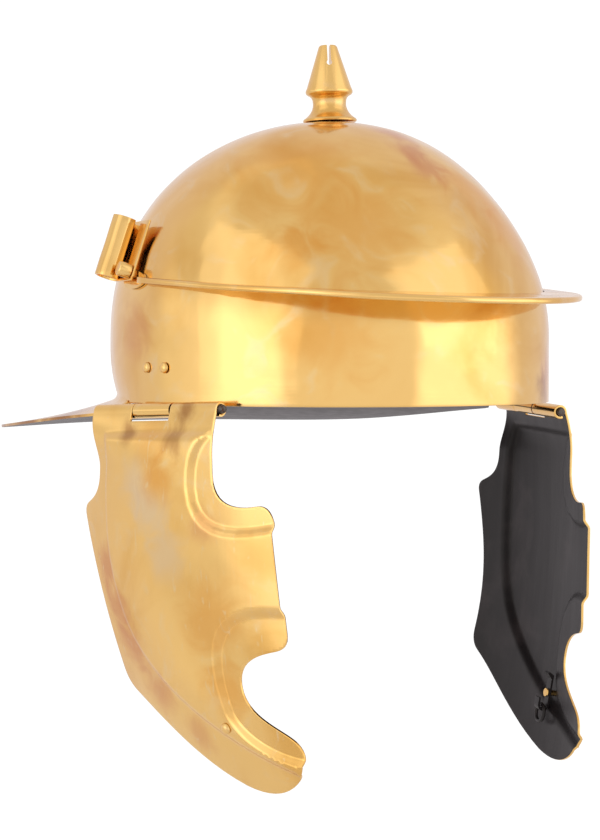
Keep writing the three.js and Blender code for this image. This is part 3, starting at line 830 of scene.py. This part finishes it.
@dataclass
class CrestKnob:
    """The turned knob with its sawn slot."""

    finishes: Finishes
    crown: float = 134.0
    foot: float = 0.35
    tip_height: float = 37.2
    tip_radius: float = 4.15
    lean: float = 2.0
    slot_width: float = 1.6
    slot_depth: float = 8.7
    slot_hole: float = 1.3
    slot_bearing: float = -29.0

    def profile(self) -> list[Point]:
        """The knob's outside from its foot to its tip."""
        foot = self.foot
        return [
            (0.0, foot), (12.2, foot), (12.85, foot + 0.35), (13.0, foot + 1.0),
            (12.7, foot + 1.6), (11.9, foot + 2.1), (10.7, foot + 3.1), (9.5, foot + 4.4),
            (8.6, foot + 6.0), (8.1, foot + 7.6), (8.0, foot + 9.0), (8.15, foot + 10.6),
            (8.7, foot + 11.9), (9.6, foot + 12.7), (10.6, foot + 13.2), (11.2, foot + 13.8),
            (11.4, foot + 14.6), (11.25, foot + 15.4), (10.7, foot + 16.6),
            (self.tip_radius + 0.35, self.tip_height - 0.8),
            (self.tip_radius, self.tip_height - 0.35), (self.tip_radius - 0.4, self.tip_height),
            (0.0, self.tip_height),
        ]

    def cutter(self) -> bpy.types.Object:
        """The saw cut, as one solid."""
        piece = Piece("slot_cutter")
        bottom = self.tip_height - self.slot_depth
        made = bmesh.ops.create_cube(piece.bm, size=1.0)["verts"]
        bmesh.ops.scale(piece.bm, vec=(self.slot_width, 40.0, self.slot_depth + 6), verts=made)
        bmesh.ops.translate(piece.bm, vec=(0, 0, bottom + self.slot_depth / 2 + 3), verts=made)
        turn = Matrix.Rotation(math.radians(self.slot_bearing), 4, "Z")
        bmesh.ops.transform(piece.bm, matrix=turn, verts=piece.bm.verts)
        return piece.drop([])

    def drill(self) -> bpy.types.Object:
        """The drilled hole at the slot's end."""
        piece = Piece("hole_cutter")
        made = bmesh.ops.create_cone(
            piece.bm,
            cap_ends=True,
            segments=24,
            radius1=self.slot_hole,
            radius2=self.slot_hole,
            depth=40.0,
        )["verts"]
        bottom = self.tip_height - self.slot_depth
        matrix = (
            Matrix.Rotation(math.radians(self.slot_bearing), 4, "Z")
            @ Matrix.Translation((0, 0, bottom))
            @ Matrix.Rotation(math.pi / 2, 4, "X")
        )
        bmesh.ops.transform(piece.bm, matrix=matrix, verts=made)
        return piece.drop([])

    def build(self) -> None:
        """Makes the knob, saws its slot and leans it."""
        piece = Piece("crest_knob_turned")
        piece.turn(self.profile(), 96)
        knob = piece.drop([self.finishes.turned])
        for cutter in (self.cutter(), self.drill()):
            cut = knob.modifiers.new("cut", "BOOLEAN")
            cut.operation = "DIFFERENCE"
            cut.object = cutter
            cut.solver = "EXACT"
            settle(knob)
            bpy.data.objects.remove(cutter)
        lean = Matrix.Translation((0, 0, self.crown * MM)) @ Matrix.Rotation(
            -math.radians(self.lean), 4, "Y"
        )
        knob.data.transform(lean)
        attach(knob, ROOT_BODY, Slot.TURNED, "crest_knob")


# ---- Brow peak ----


@dataclass
class BrowPeak:
    """The crescent plate over the forehead, with a lug lying along the bowl at each end."""

    finishes: Finishes
    bowl: Bowl
    half_width: float = 105.0
    reach: float = 140.0
    thickness: float = 2.8
    side_height: float = 56.6
    slope: float = 4.44
    lug_thickness: float = 1.3
    lug_length: float = 24.0
    seam: float = 0.2

    def plate_height(self, y: float) -> float:
        """Height of the plate's middle, a distance behind the bowl's axis."""
        return self.side_height + y * math.sin(math.radians(self.slope))

    def build(self) -> None:
        """Makes the plate, rounds its outer edge and adds the lugs."""
        piece = Piece("brow_peak_plate")
        bm = piece.bm
        bmesh.ops.create_circle(bm, segments=240, radius=1.0)
        rear = [v for v in bm.verts if v.co.y > 0.07]
        bmesh.ops.delete(bm, geom=rear, context="VERTS")
        inner = list(bm.verts)
        edge = bmesh.ops.extrude_edge_only(bm, edges=list(bm.edges))["geom"]
        outer = [g for g in edge if isinstance(g, BMVert)]
        for vert in outer:
            x, y = vert.co.x, vert.co.y
            taper = smooth(y, 0.0, 0.07)
            wide = (self.half_width - 3.0 * taper) * x
            vert.co = Vector((wide, y * (self.reach if y < 0 else self.bowl.half_length), 0.0))
        for vert in inner:
            y = vert.co.y * self.bowl.half_length
            height = self.plate_height(y)
            keep = self.bowl.share(height)
            draw = 1 - self.bowl.front_draw(y * keep, height)
            vert.co.x *= self.bowl.half_width * keep + self.seam
            vert.co.y *= self.bowl.half_length * keep * draw + self.seam
        across = [e for e in bm.edges if (e.verts[0] in inner) != (e.verts[1] in inner)]
        bmesh.ops.subdivide_edges(bm, edges=across, cuts=4, use_grid_fill=True)
        bmesh.ops.recalc_face_normals(bm, faces=bm.faces)
        bmesh.ops.solidify(bm, geom=list(bm.faces), thickness=self.thickness)
        low = min(v.co.z for v in bm.verts)
        bmesh.ops.translate(bm, vec=(0, 0, -low - self.thickness / 2), verts=bm.verts)
        brink = [e for e in bm.edges if self.is_brink(e)]
        bmesh.ops.bevel(
            bm,
            geom=brink,
            offset=self.thickness * 0.42,
            offset_type="OFFSET",
            segments=4,
            profile=0.5,
            affect="EDGES",
            material=-1,
        )

        def sloped(co: Vector) -> Vector:
            """Tips the plate down to the front and lets it waver as hand work does."""
            waver = 0.28 * noise.noise(Vector((co.x, co.y, 0.0)) / 38.0)
            return Vector((co.x, co.y, co.z + self.plate_height(co.y) + waver))

        piece.bend(sloped)
        self.add_lug(piece, 1.0)
        self.add_lug(piece, -1.0)
        bmesh.ops.recalc_face_normals(bm, faces=bm.faces)
        plate = piece.drop([self.finishes.bowl])
        attach(plate, ROOT_BODY, Slot.POLISHED, "brow_peak")

    def is_brink(self, edge: BMEdge) -> bool:
        """Tells whether an edge runs along the plate's outer edge, above or below."""
        a, b = (v.co for v in edge.verts)
        if abs(a.z - b.z) > 0.5:
            return False
        for co in (a, b):
            if co.y >= 0:
                return False
            if math.hypot(co.x / self.half_width, co.y / self.reach) < 0.9985:
                return False
        return True

    def add_lug(self, piece: Piece, side: float) -> None:
        """Lays a flat lug along the bowl behind one end of the plate.

        Args:
            piece: The plate.
            side: 1 for the wearer's left, -1 for the right.
        """
        bm = piece.bm
        made = bmesh.ops.create_circle(bm, cap_ends=True, segments=40, radius=1.0)["verts"]
        face = next(f for f in made[0].link_faces)
        rim = list(face.edges)
        bmesh.ops.inset_individual(bm, faces=[face], thickness=0.12)
        plate = set(made) | {v for e in rim for f in e.link_faces for v in f.verts}
        plate |= {v for f in bm.faces if all(w in plate for w in f.verts) for v in f.verts}
        faces = [f for f in bm.faces if all(v in plate for v in f.verts)]
        grown = bmesh.ops.extrude_face_region(bm, geom=faces)["geom"]
        top = {g for g in grown if isinstance(g, BMVert)}
        for vert in plate | top:
            along = vert.co.x
            y = self.lug_length / 2 * (1 + along)
            z = self.side_height + 0.4 + 4.1 * vert.co.y
            inner = self.bowl.share(z)
            radial = self.seam + (self.lug_thickness if vert in top else 0.0)
            half_width = self.bowl.half_width * inner + radial
            half_length = self.bowl.half_length * inner + radial
            vert.co = Vector((side * half_width * math.sqrt(1 - (y / half_length) ** 2), y, z))


# ---- Side tubes ----


@dataclass
class PlumeTube:
    """A strip rolled into an open tube, held to the bowl by a stud through its tail."""

    finishes: Finishes
    side: str
    radius: float = 6.0
    wall: float = 1.0
    length: float = 29.5
    tail: float = 20.0
    lean: float = 18.4
    toe: float = 9.2
    foot: tuple[float, float, float] = (105.3, 30.0, 58.5)

    def frame(self) -> Matrix:
        """From forward, out and up along the tube to the helmet's axes."""
        lean, toe = math.radians(self.lean), math.radians(self.toe)
        forward = Vector((math.sin(toe), -math.cos(toe), 0.0))
        up = Vector(
            (-math.sin(lean) * math.cos(toe), -math.sin(lean) * math.sin(toe), math.cos(lean))
        )
        out = -forward.cross(up)
        return side_matrix(self.side) @ axes(forward, out, up, self.foot)

    def build(self) -> None:
        """Makes the rolled tube with its tail."""
        piece = Piece(f"plume_tube_rolled_{self.side}")
        bm = piece.bm
        middle = self.radius - self.wall / 2
        chain = piece.line((self.tail - i * self.tail / 5, -middle, 0.0) for i in range(6))
        bmesh.ops.spin(
            bm,
            geom=[chain[-1]],
            cent=(0, 0, 0),
            axis=(0, 0, -1),
            angle=math.radians(308),
            steps=26,
            use_duplicate=False,
        )
        edges = list(bm.edges)
        steps = 12
        for _ in range(steps):
            out = bmesh.ops.extrude_edge_only(bm, edges=edges)["geom"]
            lifted = [g for g in out if isinstance(g, BMVert)]
            bmesh.ops.translate(bm, vec=(0, 0, self.length / steps), verts=lifted)
            edges = [g for g in out if isinstance(g, BMEdge)]

        def uneven(co: Vector) -> Vector:
            """Flattens the roll here and there, as a hand-bent strip is."""
            bearing = math.atan2(co.y, co.x)
            flats = 0.16 * math.cos(7 * bearing + 0.05 * co.z) + 0.14 * noise.noise(co / 9.0)
            pull = 1 + flats / middle if co.x < 4 else 1
            return Vector((co.x * pull, co.y * pull, co.z))

        piece.bend(uneven)
        piece.set_in(self.frame())
        bmesh.ops.recalc_face_normals(bm, faces=bm.faces)
        tube = piece.drop([self.finishes.bowl])
        thicken(tube, self.wall, 0.0, edge=0.15)
        attach(tube, ROOT_BODY, Slot.POLISHED, f"plume_tube_{self.side}")
        self.build_stud()

    def build_stud(self) -> None:
        """Makes the stout stud through the tail."""
        piece = Piece(f"tube_stud_filed_{self.side}")
        piece.turn(
            [
                (0.0, -9.0), (2.0, -9.0), (2.0, 0.3), (3.2, 0.3), (3.5, 0.6), (3.5, 5.5),
                (3.3, 6.0), (2.9, 6.3), (0.0, 6.35),
            ],
            40,
        )
        along, out_of_line, up = 16.0, self.wall - self.radius, 4.0
        stand = Matrix.Translation((along, out_of_line, up)) @ Matrix.Rotation(-math.pi / 2, 4, "X")
        piece.set_in(self.frame() @ stand)
        stud = piece.drop([self.finishes.turned])
        attach(stud, ROOT_BODY, Slot.TURNED, f"tube_stud_{self.side}")


# ---- Hinges and cheek guards ----


class Side(Enum):
    """How each guard hangs and is dished.

    Its hinge's height in millimetres and tilt in degrees, where its bow stands out most and how
    far the chin curves in.
    """

    LEFT = (-4.3, -1.9, 14.0, 12.0)
    RIGHT = (-2.4, 2.2, 21.0, 17.5)

    @property
    def hang(self) -> tuple[float, float]:
        """The hinge's height and tilt."""
        return self.value[:2]

    @property
    def dish(self) -> tuple[float, float]:
        """Where the bow stands out most, and how far the chin curves in."""
        return self.value[2:]

    @property
    def label(self) -> str:
        """The side's name in node names."""
        return self.name.lower()


def side_matrix(side: str) -> Matrix:
    """Mirrors what is made for the left when the side is the right."""
    return Matrix.Scale(-1 if side == "right" else 1, 4, (1, 0, 0))


@dataclass
class CheekGuard:
    """A pressed cheek guard with its rolled hinge edge, pin and tie rivet."""

    finishes: Finishes
    side: Side
    toe_in: float = 16.5
    offside: float = 106.5
    forward: float = 22.0
    half_length: float = 38.5
    pin_radius: float = 1.95
    pin_proud: float = 1.8
    roll_radius: float = 2.8
    roll_end: float = -14.5
    window: tuple[float, float, float] = (-13.5, 10.5, 4.5)
    thickness: float = 1.2
    cell: float = 1.0
    shoulder: float = 22.0
    shoulder_out: float = 7.5
    chin_depth: float = 164.0
    chin_power: float = 2.2
    bow: float = 0.0024
    bow_drift: float = 0.0036
    drift_from: float = 50.0
    bow_fade: float = 25.0
    field_rise: float = 2.6
    field_edge: float = 2.2
    tie: Point = (34.5, 139.5)
    tie_grip: float = 5.8

    @property
    def body(self) -> str:
        """The body that the guard swings with."""
        return f"cheek_{self.side.label}"

    def frame(self) -> Matrix:
        """From along the pin, out and up to the helmet's axes."""
        height, tilt_degrees = self.side.hang
        toe, tilt = math.radians(self.toe_in), math.radians(tilt_degrees)
        across = Vector(
            (-math.sin(toe) * math.cos(tilt), -math.cos(toe) * math.cos(tilt), math.sin(tilt))
        )
        out = Vector((math.cos(toe), -math.sin(toe), 0.0))
        pin = (self.offside, -self.forward, height)
        return side_matrix(self.side.label) @ axes(across, out, across.cross(out), pin)

    def outline(self) -> list[Point]:
        """The guard's cut edge, along the pin and down, with the roll unrolled above zero."""
        end, (left, right, deep), top = self.half_length, self.window, self.roll_end
        return drawn(
            (-end, top),
            ((-end, -1.0),),
            ((-40.0, 26.0),),
            ((-40.5, 36.0), (-46.0, 39.0), (-52.0, 41.5)),
            ((-57.5, 43.5), (-55.5, 49.0)),
            ((-51.5, 66.0), (-44.5, 88.0), (-42.5, 120.0)),
            ((-42.0, 126.5), (-36.0, 130.0)),
            ((-18.0, 140.0), (4.0, 158.0), (36.0, 166.5)),
            ((56.0, 171.0), (68.0, 165.0), (73.0, 156.0)),
            ((78.0, 147.5), (70.0, 142.0)),
            ((62.0, 137.0), (45.5, 133.0), (45.5, 120.0)),
            ((45.5, 109.0), (56.0, 106.0), (66.0, 104.0)),
            ((72.5, 102.5), (71.8, 96.0)),
            ((69.0, 50.0),),
            ((67.5, 41.0), (61.0, 41.8)),
            ((50.0, 43.5), (38.5, 42.0), (38.3, 28.0)),
            ((end, -1.0),),
            ((end, top),),
            ((right, top),),
            ((right, deep),),
            ((left, deep),),
            ((left, top),),
        )

    def field(self) -> list[Point]:
        """The edge of the raised middle of the guard."""
        return drawn(
            (-29.0, 11.0),
            ((-37.0, 45.0), (-36.0, 90.0), (-17.0, 110.0)),
            ((0.0, 130.0), (35.0, 147.0), (72.0, 157.0)),
            ((76.0, 152.5),),
            ((52.0, 150.0), (40.0, 140.0), (37.0, 133.0)),
            ((31.0, 110.0), (33.0, 88.0), (62.0, 87.0)),
            ((80.0, 87.0),),
            ((80.0, 49.0),),
            ((55.0, 55.0), (28.0, 58.0), (27.0, 34.0)),
            ((27.0, 18.0), (36.0, 11.0)),
            steps=10,
        )

    def stands_out(self, along: float, down: float, field_edge: Sequence[Point]) -> float:
        """How far the middle of the sheet stands out from the pin.

        Args:
            along: Forward along the pin.
            down: Below the pin.
            field_edge: The edge of the raised field.

        Returns:
            The distance in millimetres.
        """
        depth = max(down, 0.0)
        if depth < self.shoulder:
            swell = math.sin(math.pi / 2 * depth / self.shoulder)
            out = self.roll_radius + (self.shoulder_out - self.roll_radius) * swell
        else:
            fall = (depth - self.shoulder) / (self.chin_depth - self.shoulder)
            out = self.shoulder_out - self.side.dish[1] * fall**self.chin_power
        drift = self.bow_drift * max(depth - self.drift_from, 0.0) ** 2
        from_middle = along - self.side.dish[0] - drift
        out -= smooth(depth, 0.0, self.bow_fade) * self.bow * from_middle**2
        away, _, within = nearest_on(field_edge, along, down)
        inside = away if within else -away
        return out + self.field_rise * smooth(inside, -self.field_edge, self.field_edge)

    def place(self, along: float, down: float, field_edge: Sequence[Point]) -> Vector:
        """The place of a point of the flat sheet once it is pressed and rolled."""
        if down < 0:
            angle = -down / self.roll_radius
            return Vector(
                (along, self.roll_radius * math.cos(angle), self.roll_radius * math.sin(angle))
            )
        dent = 0.14 * noise.noise(Vector((along, down, 7.0)) / 21.0) * smooth(down, 4.0, 20.0)
        return Vector((along, self.stands_out(along, down, field_edge) + dent, -down))

    def build_sheet(self) -> None:
        """Cuts the flat sheet to its outline, presses it and rolls its top edge."""
        piece = Piece(f"cheek_guard_sheet_{self.side.label}")
        bm = piece.bm
        low, high = (-58.5, self.roll_end), (78.5, 169.5)
        cells = [round((high[i] - low[i]) / self.cell) for i in range(2)]
        bmesh.ops.create_grid(bm, x_segments=cells[0], y_segments=cells[1], size=0.5)
        span = Vector((high[0] - low[0], high[1] - low[1], 1.0))
        bmesh.ops.scale(bm, vec=span, verts=bm.verts)
        middle = Vector(((low[0] + high[0]) / 2, (low[1] + high[1]) / 2, 0.0))
        bmesh.ops.translate(bm, vec=middle, verts=bm.verts)
        outline = self.outline()
        waste = []
        for cell in bm.faces:
            centre = cell.calc_center_median()
            if not nearest_on(outline, centre.x, centre.y)[2]:
                waste.append(cell)
        bmesh.ops.delete(bm, geom=waste, context="FACES")
        edge = [v for v in bm.verts if v.is_boundary]
        for vert in edge:
            x, y = nearest_on(outline, vert.co.x, vert.co.y)[1]
            vert.co = Vector((x, y, 0.0))
        bmesh.ops.remove_doubles(bm, verts=edge, dist=0.4 * self.cell)
        edge = [v for v in bm.verts if v.is_boundary]
        beside = {e.other_vert(v) for v in edge for e in v.link_edges} - set(edge)
        for _ in range(3):
            bmesh.ops.smooth_vert(
                bm, verts=list(beside), factor=0.5, use_axis_x=True, use_axis_y=True
            )
        field_edge = self.field()
        for vert in bm.verts:
            vert.co = self.place(vert.co.x, vert.co.y, field_edge)
        bmesh.ops.recalc_face_normals(bm, faces=bm.faces)
        bm.normal_update()
        if sum(f.normal.y for f in bm.faces if f.calc_center_median().z < 0) < 0:
            bmesh.ops.reverse_faces(bm, faces=bm.faces)
        piece.set_in(self.frame())
        guard = piece.drop([self.finishes.guard, self.finishes.paint])
        thicken(guard, self.thickness, 0.0, inner=1, edge=0.2)
        attach(guard, self.body, Slot.POLISHED, f"cheek_guard_{self.side.label}")

    def build_pin(self) -> None:
        """Makes the pin with its rough cut end."""
        piece = Piece(f"hinge_pin_wire_{self.side.label}")
        end, proud = self.half_length, self.half_length + self.pin_proud
        piece.turn(
            [
                (0.0, -end), (self.pin_radius - 0.3, -end), (self.pin_radius, -end + 0.3),
                (self.pin_radius, proud - 0.6), (self.pin_radius - 0.35, proud - 0.1),
                (0.6, proud), (0.0, proud - 0.2),
            ],
            32,
        )

        def rough(co: Vector) -> Vector:
            """Leaves the front end as the cutters left it."""
            rag = 0.35 * noise.noise(co * 0.9) * smooth(co.z, proud - 1.0, proud)
            return Vector((co.x, co.y, co.z + rag))

        piece.bend(rough)
        piece.set_in(self.frame() @ Matrix.Rotation(math.pi / 2, 4, "Y"))
        pin = piece.drop([self.finishes.steel])
        attach(pin, ROOT_BODY, Slot.STEEL, f"hinge_pin_{self.side.label}")

    def build_tie(self) -> None:
        """Makes the tie's rivet outside the chin."""
        field_edge = self.field()
        along, down = self.tie
        point = self.place(along, down, field_edge)
        forward = self.place(along + 1, down, field_edge) - self.place(along - 1, down, field_edge)
        upward = self.place(along, down - 1, field_edge) - self.place(along, down + 1, field_edge)
        out = upward.cross(forward).normalized()
        if out.y < 0:
            out.negate()
        up = (Vector((0, 0, 1)) - out * out.z).normalized()
        place = self.frame() @ axes(out.cross(up), up, out, point + out * (self.thickness / 2))
        name = f"tie_rivet_{self.side.label}"
        set_rivet(name, place, self.tie_grip, self.finishes.turned, self.body)


def rivet_profile(grip: float) -> list[Point]:
    """A domed rivet's outside from its closed tail to its head.

    Args:
        grip: What it holds together, in millimetres.

    Returns:
        Radius and height pairs.
    """
    return [
        (0.0, -grip - 0.7), (2.0, -grip - 0.6), (2.2, -grip - 0.1), (1.4, -grip), (1.4, 0.1),
        (2.45, 0.1), (2.55, 0.35), (2.35, 0.95), (1.85, 1.45), (1.1, 1.78), (0.0, 1.9),
    ]


def set_rivet(
    node: str, place: Matrix, grip: float, finish: bpy.types.Material, body: str
) -> None:
    """Makes a domed rivet and sets it in its place.

    Args:
        node: The node that it stands for, which ends in its side.
        place: Where its head sits, its axis along Z.
        grip: What it holds together, in millimetres.
        finish: Its material.
        body: The body that carries it.
    """
    stem, side = node.rsplit("_", 1)
    piece = Piece(f"{stem}_domed_{side}")
    piece.turn(rivet_profile(grip), 36)
    piece.set_in(place)
    attach(piece.drop([finish]), body, Slot.TURNED, node)


@dataclass
class HingeLeaf:
    """The two rivets through the band that hold the strap under the rim."""

    finishes: Finishes
    bowl: Bowl
    side: Side
    forwards: tuple[float, float] = (5.0, 19.0)
    height: float = 16.7
    grip: float = 3.8

    def build(self) -> None:
        """Makes the strap's rivets."""
        label = self.side.label
        for name, forward in zip(("rear", "front"), self.forwards):
            y = -forward
            x = self.bowl.half_width * math.sqrt(1 - (y / self.bowl.half_length) ** 2)
            out = Vector((x / self.bowl.half_width**2, y / self.bowl.half_length**2, 0.0))
            out.normalize()
            up = Vector((0, 0, 1))
            place = side_matrix(label) @ axes(out.cross(up), up, out, (x, y, self.height))
            node = f"leaf_rivet_{name}_{label}"
            set_rivet(node, place, self.grip, self.finishes.turned, ROOT_BODY)


# ---- Plain nodes that stay ----


@dataclass
class Nodes:
    """The nodes whose own shape is right, which only need their finish."""

    nodes: Mapping[str, bpy.types.Object]
    finishes: Finishes

    def dress(self) -> None:
        """Gives each its material."""
        for side in Side:
            for name, material in (
                ("hinge_leaf", self.finishes.bowl),
                ("tie_strip", self.finishes.paint),
                ("tie_ring", self.finishes.paint),
            ):
                node = self.nodes[f"{name}_{side.label}"]
                node.data.materials.clear()
                node.data.materials.append(material)
                LOG.info("%s keeps its shape", node.name)


# ---- Studio ----


@dataclass
class Studio:
    """White surroundings with a dim room behind the camera, a pale floor and the camera."""

    camera_place: tuple[float, float, float] = (-529.9, -800.5, 26.0)
    aim: tuple[float, float, float] = (-12.1, 8.0, -9.4)
    lens: float = 84.75
    floor_height: float = -420.0
    bearing: float = 33.5

    def build(self) -> None:
        """Sets everything up."""
        self.build_world()
        self.build_floor()
        self.build_lights()
        self.build_camera()
        bpy.context.scene.view_settings.view_transform = "Standard"

    def build_world(self) -> None:
        """Makes the white surroundings and what the metal sees of the room."""
        world = bpy.data.worlds.new("studio")
        world.use_nodes = True
        bpy.context.scene.world = world
        g = Graph(world.node_tree)
        direction = g.node("ShaderNodeTexCoord", output="Generated")
        turn = math.radians(self.bearing)
        toward = g.node(
            "ShaderNodeVectorMath",
            {"operation": "DOT_PRODUCT"},
            {0: direction, 1: (-math.sin(turn), -math.cos(turn), 0.0)},
            "Value",
        )
        right = g.node(
            "ShaderNodeVectorMath",
            {"operation": "DOT_PRODUCT"},
            {0: direction, 1: (math.cos(turn), -math.sin(turn), 0.0)},
            "Value",
        )
        height = g.math("ARCSINE", g.axis(direction, "Z"))
        around = g.math("ARCTAN2", right, toward)
        tall = height.below(0.80, 1.10)
        level = height.below(0.10, 0.42) * height.above(-0.42, -0.10)
        left = around * -1.0
        box_left = left.above(0.50, 0.64) * left.below(1.05, 1.25)
        box_right = around.above(0.62, 0.80)
        boxes = g.math("MAXIMUM", box_left, box_right) * tall
        folds = g.math("SINE", height * 9.0 + around * 4.0) * left.above(1.0, 1.3) * 0.14
        lit = level * 0.20 + boxes * (0.18 + level * 0.50) + folds
        room = g.mix((0.80, 0.76, 0.71), (1.60, 1.57, 1.55), lit)
        room = g.mix(room, (0.80, 0.75, 0.77), toward.below(-0.45, -0.10))
        seen = g.node("ShaderNodeLightPath", output="Is Camera Ray")
        background = g.node(
            "ShaderNodeBackground",
            {},
            {"Color": g.mix(room, (1.0, 1.0, 1.0), seen), "Strength": 1.08},
        )
        g.node("ShaderNodeOutputWorld", {}, {"Surface": background})

    def build_floor(self) -> None:
        """Makes the pale floor under the hanging helmet."""
        piece = Piece("floor")
        bmesh.ops.create_circle(piece.bm, cap_ends=True, segments=96, radius=620.0)
        bmesh.ops.translate(piece.bm, vec=(0, 0, self.floor_height), verts=piece.bm.verts)
        made, g = blank_material("floor_white")
        g.surface({"Base Color": (0.93, 0.93, 0.93, 1.0), "Roughness": 0.9})
        piece.drop([made])

    def build_lights(self) -> None:
        """Hangs two wide soft lights, left and right of the camera."""
        for name, place, size, power in (
            ("light_left", (-1.9, -0.3, 0.9), 2.2, 4.0),
            ("light_right", (1.1, -1.7, 1.0), 2.2, 4.0),
        ):
            lamp = bpy.data.lights.new(name, "AREA")
            lamp.size = size
            lamp.energy = power
            made = bpy.data.objects.new(name, lamp)
            made.location = place
            made.rotation_euler = (-Vector(place)).to_track_quat("-Z", "Y").to_euler()
            bpy.context.scene.collection.objects.link(made)

    def build_camera(self) -> None:
        """Puts the camera at the wearer's front right, level with the band."""
        data = bpy.data.cameras.new("camera")
        data.lens = self.lens
        data.clip_start, data.clip_end = 0.01, 50.0
        made = bpy.data.objects.new("camera", data)
        made.location = Vector(self.camera_place) * MM
        line = (Vector(self.aim) - Vector(self.camera_place)) * MM
        made.rotation_euler = line.to_track_quat("-Z", "Y").to_euler()
        bpy.context.scene.collection.objects.link(made)
        bpy.context.scene.camera = made


def main() -> None:
    """Builds the helmet round its frame."""
    logging.basicConfig(level=logging.INFO, format="%(name)s: %(message)s")
    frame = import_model()
    finishes = Finishes()
    bowl = Bowl(finishes)
    bowl.build()
    CrestKnob(finishes).build()
    BrowPeak(finishes, bowl).build()
    for side in Side:
        PlumeTube(finishes, side.label).build()
        HingeLeaf(finishes, bowl, side).build()
        guard = CheekGuard(finishes, side)
        guard.build_sheet()
        guard.build_pin()
        guard.build_tie()
    Nodes(frame["nodes"], finishes).dress()
    Studio().build()


if __name__ == "__main__":
    main()
